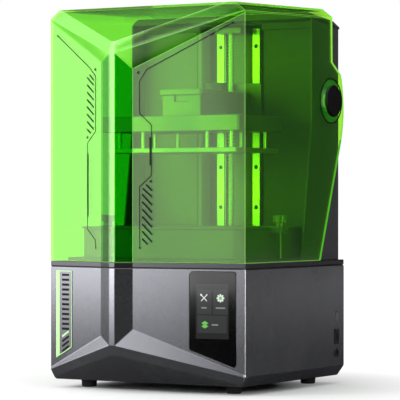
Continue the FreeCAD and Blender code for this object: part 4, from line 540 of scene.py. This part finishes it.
dress(dark_alloy, "heat_sink")
dress(lamp_white, "led_board")
dress(reflector_white, "light_reflector")
dress(clear("lens_clear", (0.9, 0.93, 0.93), 0.06), "collimating_lens")
dress(circuit_board("board_green", (0.01, 0.09, 0.04), (0.03, 0.2, 0.09)), "mainboard")
dress(fan_black, "fan_frame", "fan_rotor")
dress(motor_black, "z_motor", "tilt_motor")
dress(bare_alloy, "shaft_coupler")

# Tower: a dark grey moulded housing behind the lid, with two front panels beside the rails
# and a sloping cap. Fine moulded grain, no gloss. The left panel is a lighter copy of the right one's
# colour as painted light, with a painted highlight along its inner edge; the wings' inward faces carry
# painted shade at the front and painted light behind.
TOWER_GREY = (0.066, 0.066, 0.070)
# Painted shade and painted light for the wings' inward faces.
WING_SHADE_GREY, WING_LIT_GREY = (0.02, 0.02, 0.02), (0.17, 0.18, 0.17)
WING_EDGE, WING_REAR, WING_INWARD = 0.0775, 0.12, -0.1
PANEL_LIT_GREY, PANEL_HIGHLIGHT_GREY = (0.17, 0.17, 0.175), (0.48, 0.48, 0.48)
# Width of the painted highlight along the left panel's inner edge.
HIGHLIGHT_STRIP = 0.0038
TOWER_EDGE = 0.0008
MOULD_GRAIN = 1700.0
tower_grain = finish("tower_grain", TOWER_GREY, 0.5, metallic=0.2, grain=MOULD_GRAIN, depth=0.00006)
# The right front panel's darker copy of the panel colour is painted shade.
shaded_panel = finish("shaded_panel", (0.040, 0.040, 0.042), 0.5, metallic=0.3, grain=MOULD_GRAIN,
                     stretch=(1.0, 1.0, 0.1))


def painted_light_split(name, axis, change, before, after):
    """A moulded face whose colour changes at a place along one axis, used for painted light and shade."""
    made, shade = blank(name)
    surface(shade, shade.node("ShaderNodeBsdfPrincipled", {}, {
        "Base Color": shade.mix(shade.along(axis) > change, (*before, 1.0), (*after, 1.0)),
        "Roughness": 0.5 + shade.noise(MOULD_GRAIN) * 0.2,
        "Metallic": 0.2,
    }))
    return made


shell = soften("tower_shell", TOWER_EDGE, MOULDED_CREASE, [tower_grain])
# Inward wing faces: painted shade towards the front edge, painted light behind it.
shell.data.materials.append(painted_light_split("wing_painted_light", "Y", WING_EDGE, WING_SHADE_GREY, WING_LIT_GREY))
for face in shell.data.polygons:
    if face.normal.x * face.center.x < WING_INWARD and face.center.y < WING_REAR:
        face.material_index = 1
soften("tower_cap", TOWER_EDGE, MOULDED_CREASE, [tower_grain])
soften("tower_panel_right", TOWER_EDGE, MOULDED_CREASE, [shaded_panel])
# Painted highlight: a pale strip along the left panel's inner edge.
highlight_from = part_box("tower_panel_left")[1].x - HIGHLIGHT_STRIP
# The left front panel's lighter copy of the panel colour is painted light.
lit_panel = painted_light_split("lit_panel", "X", highlight_from, PANEL_LIT_GREY, PANEL_HIGHLIGHT_GREY)
soften("tower_panel_left", TOWER_EDGE, MOULDED_CREASE, [lit_panel])

# Z drive: a dark column plate, two ground steel rails held by socket screws, bearing blocks,
# and a rolled ball screw with a 5 mm lead between them.
SCREW_LEAD = 0.005
THREAD = 0.00085
RAIL_EDGE = 0.0004
ground_steel = finish("ground_steel", (0.72, 0.73, 0.72), 0.28, metallic=0.6, grain=800.0,
                      stretch=(1.0, 1.0, 0.03))
rolled_steel = finish("rolled_steel", (0.82, 0.83, 0.82), 0.35, metallic=0.5, grain=800.0)
black_oxide = finish("black_oxide", (0.02, 0.02, 0.021), 0.4, metallic=0.5)
column_grey = finish("column_grey", (0.10, 0.10, 0.105), 0.40, metallic=0.6, grain=1500.0)
dress(column_grey, "z_column", "upper_bearing", "lower_bearing")
soften("rail_right", RAIL_EDGE, MACHINED_CREASE, [ground_steel])
soften("rail_left", RAIL_EDGE, MACHINED_CREASE, [ground_steel])
dress(black_oxide, "rail_screws")


def threaded(name, radius, core, lead, length, material):
    """A round bar with a rolled helical thread, swept along a spiral by a node tree."""
    tree = bpy.data.node_groups.new(name, "GeometryNodeTree")
    sizes = {"Turns": length / lead, "Height": length, "Radius": radius - THREAD, "Thread": THREAD,
             "Core": core}
    for label in sizes:
        tree.interface.new_socket(label, in_out="INPUT", socket_type="NodeSocketFloat")
    tree.interface.new_socket("Geometry", in_out="OUTPUT", socket_type="NodeSocketGeometry")
    given = tree.nodes.new("NodeGroupInput")
    path = tree.nodes.new("GeometryNodeCurveSpiral")
    path.inputs["Resolution"].default_value = 20
    ridge = tree.nodes.new("GeometryNodeCurvePrimitiveCircle")
    ridge.inputs["Resolution"].default_value = 8
    sweep = tree.nodes.new("GeometryNodeCurveToMesh")
    sweep.inputs["Fill Caps"].default_value = True
    shaft = tree.nodes.new("GeometryNodeMeshCylinder")
    shaft.inputs["Vertices"].default_value = 32
    half = tree.nodes.new("ShaderNodeMath")
    half.operation = "MULTIPLY"
    half.inputs[1].default_value = 0.5
    lift = tree.nodes.new("ShaderNodeCombineXYZ")
    raised = tree.nodes.new("GeometryNodeTransform")
    whole = tree.nodes.new("GeometryNodeJoinGeometry")
    real = tree.nodes.new("GeometryNodeRealizeInstances")
    coat = tree.nodes.new("GeometryNodeSetMaterial")
    coat.inputs["Material"].default_value = material
    result = tree.nodes.new("NodeGroupOutput")
    for start, end in (
        (given.outputs["Turns"], path.inputs["Rotations"]),
        (given.outputs["Height"], path.inputs["Height"]),
        (given.outputs["Radius"], path.inputs["Start Radius"]),
        (given.outputs["Radius"], path.inputs["End Radius"]),
        (given.outputs["Thread"], ridge.inputs["Radius"]),
        (path.outputs["Curve"], sweep.inputs["Curve"]),
        (ridge.outputs["Curve"], sweep.inputs["Profile Curve"]),
        (given.outputs["Core"], shaft.inputs["Radius"]),
        (given.outputs["Height"], shaft.inputs["Depth"]),
        (given.outputs["Height"], half.inputs[0]),
        (half.outputs["Value"], lift.inputs["Z"]),
        (shaft.outputs["Mesh"], raised.inputs["Geometry"]),
        (lift.outputs["Vector"], raised.inputs["Translation"]),
        (raised.outputs["Geometry"], whole.inputs["Geometry"]),
        (sweep.outputs["Mesh"], whole.inputs["Geometry"]),
        (whole.outputs["Geometry"], real.inputs["Geometry"]),
        (real.outputs["Geometry"], coat.inputs["Geometry"]),
        (coat.outputs["Geometry"], result.inputs["Geometry"]),
    ):
        tree.links.new(start, end)
    return grown(name, tree, sizes)


screw_low, screw_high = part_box("ball_screw")
screw_radius = (screw_high.x - screw_low.x) / 2
thread_mesh = threaded("screw_thread", screw_radius, screw_radius - 2 * THREAD, SCREW_LEAD,
                       screw_high.z - screw_low.z - 2 * THREAD, rolled_steel)
screw_middle = (screw_low + screw_high) / 2
thread_mesh.transform(Matrix.Translation((screw_middle.x, screw_middle.y, screw_low.z + THREAD)))
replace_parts(add_piece("screw_thread", thread_mesh, "screw"), "ball_screw")

# Platform: slider blocks and a carriage plate on the rails, an arm out to the mount block, and a
# head that carries the bead-blasted build plate on eight posts. A fluted knob clamps it.
BLOCK_EDGE, PLATE_EDGE, KNOB_EDGE = 0.0008, 0.0005, 0.0007
KNOB_CREASE = 40.0
sandblasted = finish("sandblasted_alloy", (0.38, 0.385, 0.39), 0.46, metallic=0.7, grain=2600.0,
                     depth=0.00008, mottle=0.2)
machined = finish("machined_alloy", (0.17, 0.175, 0.18), 0.36, metallic=0.6, grain=900.0,
                  stretch=(0.05, 1.0, 1.0))
knob_plastic = finish("knob_plastic", (0.02, 0.02, 0.021), 0.45, grain=1500.0)
dress(ground_steel, "slider_blocks", "ball_nut", "leveling_posts")
for name in ("carriage_plate", "platform_arm", "mount_block", "leveling_head"):
    soften(name, BLOCK_EDGE, MACHINED_CREASE, [machined])
soften("build_plate", PLATE_EDGE, MACHINED_CREASE, [sandblasted])
soften("clamp_knob", KNOB_EDGE, KNOB_CREASE, [knob_plastic])

# Bed and vat: a tilting plate with the mask screen let into it, the cast vat with its clear
# release film, two tall thumb screws, and the pusher that lowers the front edge.
BED_EDGE, VAT_EDGE, SCREW_EDGE = 0.0006, 0.0008, 0.0004
VAT_CREASE, SCREW_CREASE = 35.0, 45.0
cast_alloy = finish("cast_alloy", (0.125, 0.128, 0.13), 0.6, metallic=0.2, grain=900.0)
screen_glass = finish("screen_glass", (0.008, 0.008, 0.010), 0.12, grain=300.0, depth=0.0)
soften("tilt_bed", BED_EDGE, MACHINED_CREASE, [dark_alloy])
dress(black_oxide, "bed_hinges")
dress(screen_glass, "mask_screen")
soften("resin_vat", VAT_EDGE, VAT_CREASE, [cast_alloy])
dress(clear("release_film", (0.86, 0.88, 0.88), 0.08), "release_film")
soften("vat_screw_right", SCREW_EDGE, SCREW_CREASE, [machined])
soften("vat_screw_left", SCREW_EDGE, SCREW_CREASE, [machined])
dress(ground_steel, "tilt_pusher")

# Lid: a folded and bonded cover in clear fluorescent green acrylic, with a keel like the base's.
# The keel's flanks are doubled, so deeper in colour; on top of that the left flank is tinted lighter as
# painted light and the right one darker as painted shade. A steady green glow on every face is painted
# light. Light gathered in the sheet leaves at its cut and sharply folded edges, so those glow, painted
# as emission, and the keel line and crown fold carry a brighter painted highlight.
CHEEK_TINT = (0.62, 0.935, 0.24)
# The left keel flank's lighter tint is painted light, the right flank's darker tint painted shade.
LIT_FLANK_TINT = (0.36, 0.72, 0.26)
SHADED_FLANK_TINT = (0.08, 0.62, 0.08)
# Painted light: a steady green glow on the acrylic, strongest on the collars round the pivots.
PAINTED_GLOW_GREEN = (0.08, 1.0, 0.06)
CHEEK_GLOW, FLANK_GLOW, COLLAR_GLOW = 0.010, 0.004, 0.09
EDGE_GLOW, EDGE_POWER = (0.60, 1.0, 0.30), 0.7
FOLD_GLOW, FOLD_POWER = (0.22, 0.72, 0.10), 0.45
# Painted highlight: the keel line and the crown fold get a brighter glowing strip.
RIDGE_HIGHLIGHT_GLOW, RIDGE_HIGHLIGHT_POWER = (0.72, 1.0, 0.36), 0.9
RIDGE_X, RIDGE_Y = -0.0372, -0.157
CROWN_FOLD = (Vector((-0.0292, -0.1586, 0.4907)), Vector((0.1337, -0.1270, 0.5410)))
LID_EDGE, LID_CREASE = 0.0008, 14.0
LID_REAR = 0.085
LID_RIM, LID_NECK = 0.19, 0.356
REAR_FACING, LOW_FACING = 0.3, -0.5
SHARP_FOLD = math.radians(48.0)
SLIGHT_FOLD = math.radians(6.0)
FLANK_FACING = 0.494
FLANK_NEAR = 0.02
KEEL_MIDDLE = -0.0327
PIVOT_Y, PIVOT_Z = 0.122, 0.413
COLLAR_X, COLLAR_REACH = 0.1605, 0.036


def acrylic(name, tint, glow):
    """Tinted light goes straight through a face, a painted green glow is added, and the face mirrors when
    aslant.
    """
    made, shade = blank(name)
    ripple = shade.noise(9.0)
    through = shade.node("ShaderNodeBsdfTransparent", {}, {"Color": (*tint, 1.0)})
    mirror = shade.node("ShaderNodeBsdfPrincipled", {}, {
        "Base Color": (0.95, 1.0, 0.93, 1.0),
        "Metallic": 1.0,
        "Roughness": 0.07 + ripple * 0.06,
    })
    face = shade.node("ShaderNodeMixShader", {}, {0: mirrored(shade), 1: through, 2: mirror})
    # Painted light: a steady green emission added to the face.
    painted_glow = shade.node("ShaderNodeEmission", {}, {"Color": (*PAINTED_GLOW_GREEN, 1.0), "Strength": glow})
    surface(shade, shade.node("ShaderNodeAddShader", {}, {0: face, 1: painted_glow}))
    return made


def glowing_edge(name, glow, strength):
    """An edge of the sheet where the light gathered in it comes out."""
    made, shade = blank(name)
    streaks = shade.noise(45.0)
    surface(shade, shade.node("ShaderNodeBsdfPrincipled", {}, {
        "Base Color": (0.12, 0.5, 0.03, 1.0),
        "Roughness": 0.2,
        "Emission Color": shade.tint(glow, 0.75 + streaks * 0.4),
        "Emission Strength": strength,
    }))
    return made


lid_mesh = welded_copy("lid_shell")
for material in (
    acrylic("lid_cheek", CHEEK_TINT, CHEEK_GLOW),
    acrylic("lid_flank_lit", LIT_FLANK_TINT, FLANK_GLOW),
    acrylic("lid_flank_shaded", SHADED_FLANK_TINT, FLANK_GLOW),
    acrylic("lid_collar", CHEEK_TINT, COLLAR_GLOW),
    glowing_edge("lid_edge", EDGE_GLOW, EDGE_POWER),
    glowing_edge("lid_fold", FOLD_GLOW, FOLD_POWER),
    glowing_edge("lid_ridge_highlight", RIDGE_HIGHLIGHT_GLOW, RIDGE_HIGHLIGHT_POWER),
):
    lid_mesh.materials.append(material)
PLAIN, LIT_FLANK, SHADED_FLANK, COLLAR, EDGE, FOLD, RIDGE = range(7)


def near_pivot(face):
    """Whether all of a face lies in the round collar about a pivot."""
    reach = max(math.hypot(v.co.y - PIVOT_Y, v.co.z - PIVOT_Z) for v in face.verts)
    return reach < COLLAR_REACH and min(abs(v.co.x) for v in face.verts) > COLLAR_X


def off_line(point, start, end):
    """Distance from a point to a straight line between two others."""
    along = end - start
    share = max(0.0, min(1.0, (point - start).dot(along) / along.length_squared))
    return (start + along * share - point).length


lid_shape = bmesh.new()
lid_shape.from_mesh(lid_mesh)
for face in lid_shape.faces:
    middle = face.calc_center_median()
    rear_rim = face.normal.y > REAR_FACING and middle.y > LID_REAR
    low_rim = face.normal.z < LOW_FACING and middle.z < LID_RIM
    flank = abs(abs(face.normal.x) - FLANK_FACING) < FLANK_NEAR and abs(face.normal.z) < FLANK_NEAR
    face.material_index = PLAIN
    if near_pivot(face):
        face.material_index = COLLAR
    elif rear_rim or low_rim:
        face.material_index = FOLD if rear_rim and middle.z < LID_NECK else EDGE
    # Left flank gets the painted-light tint, right flank the painted-shade tint.
    elif flank and middle.y < 0.0:
        face.material_index = SHADED_FLANK if middle.x > KEEL_MIDDLE else LIT_FLANK
folds = [e for e in lid_shape.edges if len(e.link_faces) == 2 and e.calc_face_angle() > SLIGHT_FOLD]
fold_lines = [(e.verts[0].co.copy(), e.verts[1].co.copy(), e.calc_face_angle()) for e in folds]
broken = bmesh.ops.bevel(lid_shape, geom=folds, offset=LID_EDGE, segments=2, profile=0.5, affect="EDGES",
                         clamp_overlap=True)
for face in broken["faces"]:
    middle = face.calc_center_median()
    nearest = min((off_line(middle, start, end), angle) for start, end, angle in fold_lines)
    foot = middle.y > LID_REAR and middle.z < LID_NECK
    face.material_index = EDGE if nearest[1] > SHARP_FOLD and not foot else FOLD
    if near_pivot(face):
        face.material_index = COLLAR
    # Keel line and crown fold bevels take the painted highlight.
    elif abs(middle.x - RIDGE_X) < LID_EDGE and middle.y < RIDGE_Y:
        face.material_index = RIDGE
    elif off_line(middle, *CROWN_FOLD) < LID_EDGE:
        face.material_index = RIDGE
lid_shape.to_mesh(lid_mesh)
lid_shape.free()
lid_mesh.shade_smooth()
lid_mesh.set_sharp_from_angle(angle=math.radians(LID_CREASE))
lid_piece = add_piece("lid_finished", lid_mesh, "lid")
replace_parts(lid_piece, "lid_shell")

# Lid pivots: black moulded caps over the hinge pins, inside raised collars ringed by a thin trim.
pivot_black = finish("pivot_black", (0.003, 0.003, 0.003), 0.32, grain=1500.0, shine=0.2)
dress(pivot_black, "pivot_rings", "pivot_cap_right", "pivot_cap_left")
dress(ground_steel, "hinge_pin_right", "hinge_pin_left")

# Line print on the lid: fine dark-green lines with end dots, thick bars, small marks and rows of
# slanted hatches, screen printed on the outside of both cheeks.
PRINT_GREEN = (0.004, 0.016, 0.004)
LINE, BAR, HATCH = 0.0014, 0.0024, 0.0025
END_DOT, MARK = 0.0017, 0.0030
LEFT_LINE = [(58.0, 36.0), (89.4, 67.3), (95.6, 76.0), (95.6, 131.4), (87.5, 143.3), (87.5, 229.0),
             (95.6, 240.0), (95.8, 248.0)]
RIGHT_LINE = [(232.8, 22.6), (146.8, 69.4), (139.5, 81.3), (139.5, 113.3), (151.4, 125.2), (151.4, 175.3),
              (139.7, 186.7), (139.8, 248.0)]
LEFT_BAR = [(88.2, 153.6), (88.2, 216.5)]
RIGHT_BAR = [(150.2, 137.0), (150.2, 165.5)]
LEFT_HATCH = (90.5, 81.3, 7, 7.36, 3.3, 3.9)
RIGHT_HATCH = (147.1, 199.7, 6, 7.4, 5.0, 5.4)
SHORT_HATCHES = [[(89.7, 74.7), (93.8, 80.0)], [(87.2, 129.2), (91.0, 133.3)],
                 [(146.1, 184.6), (152.1, 190.7)], [(142.9, 188.6), (152.1, 197.1)],
                 [(142.1, 238.6), (147.9, 244.6)]]
MARKS = [(95.4, 69.5), (138.2, 72.8), (87.6, 137.5), (151.0, 181.5)]
STEP = 1.5

lid_points = [v.co for v in lid_piece.data.vertices]
lid_tree = BVHTree.FromPolygons(lid_points, [p.vertices for p in lid_piece.data.polygons])


def on_lid(u, v):
    """Place on the outside of the lid under a picture point, and the way out from it."""
    there, normal, _, _ = lid_tree.ray_cast(VIEW_PLACE, picture_ray(u, v))
    return there, normal


def ribbon(shape, points, width):
    """A flat printed line along picture points, laid on the lid."""
    path = []
    for (u0, v0), (u1, v1) in zip(points, points[1:]):
        count = max(1, round(math.hypot(u1 - u0, v1 - v0) / STEP))
        path += [(u0 + (u1 - u0) * i / count, v0 + (v1 - v0) * i / count) for i in range(count)]
    placed = [on_lid(u, v) for u, v in path + points[-1:]]
    rows = []
    for i, (there, normal) in enumerate(placed):
        along = placed[min(i + 1, len(placed) - 1)][0] - placed[max(i - 1, 0)][0]
        side = normal.cross(along).normalized() * (width / 2)
        there = there + normal * PRINT_LIFT
        rows.append((shape.verts.new(there + side), shape.verts.new(there - side)))
    for low, high in zip(rows, rows[1:]):
        shape.faces.new((low[0], low[1], high[1], high[0]))


def spot(shape, u, v, radius, sides, turn=0.0):
    """A small printed dot or triangle on the lid."""
    there, normal = on_lid(u, v)
    across = normal.orthogonal().normalized()
    up = normal.cross(across)
    if abs(across.z) > abs(up.z):
        across, up = up, across
    if up.z < 0.0:
        up = -up
    corners = []
    for i in range(sides):
        t = turn + 2 * math.pi * i / sides
        reach = across * (radius * math.cos(t)) + up * (radius * math.sin(t))
        corners.append(there + normal * PRINT_LIFT + reach)
    face = shape.faces.new([shape.verts.new(c) for c in corners])
    face.normal_update()
    if face.normal.dot(normal) < 0.0:
        face.normal_flip()


lines = bmesh.new()
for line in (LEFT_LINE, RIGHT_LINE):
    ribbon(lines, line, LINE)
    spot(lines, *line[0], END_DOT, 12)
    spot(lines, *line[-1], END_DOT, 12)
for thick in (LEFT_BAR, RIGHT_BAR):
    ribbon(lines, thick, BAR)
for u, v, count, pitch, across, down in (LEFT_HATCH, RIGHT_HATCH):
    for i in range(count):
        middle = v + i * pitch
        ribbon(lines, [(u - across, middle - down), (u + across, middle + down)], HATCH)
for hatch in SHORT_HATCHES:
    ribbon(lines, hatch, HATCH)
for u, v in MARKS:
    spot(lines, u, v, MARK, 3, -math.pi / 2)
for face in lines.faces:
    face.normal_update()
    if face.normal.dot(face.calc_center_median() - VIEW_PLACE) > 0.0:
        face.normal_flip()
lid_print = bpy.data.meshes.new("lid_print")
lines.to_mesh(lid_print)
lines.free()
lid_print.materials.append(finish("lid_print", PRINT_GREEN, 0.65, grain=1200.0, shine=0.15))
add_piece("lid_print", lid_print, "lid")

# Studio: a white floor and backdrop that keep the printer's shadow, a large soft lamp close by at the
# front left, weaker ones in front, above and behind, and a strip and dark cards that only reflections see.
FLOOR_HALF = 30.0
SHADOW_NEAR, SHADOW_FAR = 0.12, 0.41
FLOOR_TONE, FLOOR_GLOW, AMBIENT = 0.82, 1.05, 0.32
MIDDLE = (0.0, 0.0, 0.27)
LAMPS = (
    ("key", (-0.724, -0.690, 0.595), (-0.087, 0.081, 0.595), 0.92, 1.01, 10.6),
    ("key_centre", (-0.480, -0.870, 0.60), (0.157, -0.099, 0.60), 0.24, 1.00, 3.1),
    ("front", (-0.252, -1.125, 0.485), (-0.062, -0.125, 0.485), 0.34, 0.77, 2.2),
    ("front_end", (-0.012, -1.170, 0.485), (0.178, -0.170, 0.485), 0.15, 0.77, 0.40),
    ("top", (0.2, -0.2, 2.2), MIDDLE, 1.6, 1.6, 20.0),
    ("strip", (1.35, -0.65, 0.6), (0.162, -0.125, 0.6), 0.90, 1.2, 14.0),
    ("rear", (-2.0, 1.0, 1.0), MIDDLE, 1.4, 1.4, 8.0),
)
CARDS = (
    ("front_card", (0.625, -1.35, 0.6), (0.245, -0.426, 0.6), 2.11, 1.7, 0.02),
    ("side_card", (1.05, 1.45, 1.03), (0.0, 0.0, 1.03), 2.2, 1.8, 0.15),
    ("rear_card", (-0.45, 1.30, 0.75), (0.0, 0.0, 0.5), 2.6, 1.9, 0.02),
    ("near_floor_card", (0.0, -0.10, 0.002), (0.0, -0.10, 1.0), 0.9, 0.8, 0.12),
    ("far_floor_card", (0.0, 0.0, 0.001), (0.0, 0.0, 1.0), 5.0, 5.0, 0.02),
)


def seen(shade):
    """1 for rays that show the background: from the lens, or mirrored or passed on to it."""
    path = shade.tree.nodes.new("ShaderNodeLightPath")
    rays = [Shade(shade.tree, path.outputs["Is " + n + " Ray"]) for n in ("Camera", "Glossy", "Transmission")]
    return shade.math("MINIMUM", rays[0] + rays[1] + rays[2], 1.0)


sheet = bpy.data.meshes.new("floor")
square = ((-1, -1), (1, -1), (1, 1), (-1, 1))
sheet.from_pydata([(x * FLOOR_HALF, y * FLOOR_HALF, 0.0) for x, y in square], [], [(0, 1, 2, 3)])
floor = bpy.data.objects.new("floor", sheet)
bpy.context.scene.collection.objects.link(floor)
floor_white, shade = blank("floor_white")
away = shade.node("ShaderNodeVectorMath", {"operation": "LENGTH"}, {0: shade.place()}, "Value")
span = {"Value": away, "From Min": SHADOW_NEAR, "From Max": SHADOW_FAR}
plain = shade.node("ShaderNodeMapRange", {}, span)
bright = shade.node("ShaderNodeEmission", {}, {"Color": (1.0, 1.0, 1.0, 1.0), "Strength": FLOOR_GLOW})
matt = shade.node("ShaderNodeBsdfDiffuse", {}, {"Color": (FLOOR_TONE, FLOOR_TONE, FLOOR_TONE, 1.0)})
surface(shade, shade.node("ShaderNodeMixShader", {}, {0: seen(shade) * plain, 1: matt, 2: bright}))
sheet.materials.append(floor_white)

world = bpy.data.worlds.new("studio")
bpy.context.scene.world = world
world.use_nodes = True
world.node_tree.nodes.clear()
shade = Shade(world.node_tree)
ambient = shade.node("ShaderNodeBackground", {}, {"Color": (0.97, 0.98, 1.0, 1.0), "Strength": AMBIENT})
white = shade.node("ShaderNodeBackground", {}, {"Color": (1.0, 1.0, 1.0, 1.0), "Strength": 1.0})
shown = shade.node("ShaderNodeMixShader", {}, {0: seen(shade), 1: ambient, 2: white})
shade.node("ShaderNodeOutputWorld", {}, {"Surface": shown})

for name, place, toward, wide, tall, power in LAMPS:
    lamp = bpy.data.lights.new(name, "AREA")
    lamp.shape = "RECTANGLE"
    lamp.size = wide
    lamp.size_y = tall
    lamp.energy = power
    stand = bpy.data.objects.new(name, lamp)
    stand.location = place
    stand.rotation_euler = (Vector(toward) - Vector(place)).to_track_quat("-Z", "Y").to_euler()
    stand.visible_camera = False
    stand.visible_diffuse = name != "strip"
    bpy.context.scene.collection.objects.link(stand)

for name, place, toward, wide, tall, tone in CARDS:
    mesh = bpy.data.meshes.new(name)
    mesh.from_pydata([(x * wide / 2, y * tall / 2, 0.0) for x, y in square], [], [(0, 1, 2, 3)])
    turn = (Vector(toward) - Vector(place)).to_track_quat("Z", "Y").to_matrix().to_4x4()
    mesh.transform(Matrix.Translation(place) @ turn)
    mesh.materials.append(finish(name, (tone, tone, tone), 0.9, shine=0.0))
    card = bpy.data.objects.new(name, mesh)
    bpy.context.scene.collection.objects.link(card)
    card.visible_camera = False
    card.visible_diffuse = False
    card.visible_transmission = False
    card.visible_shadow = False
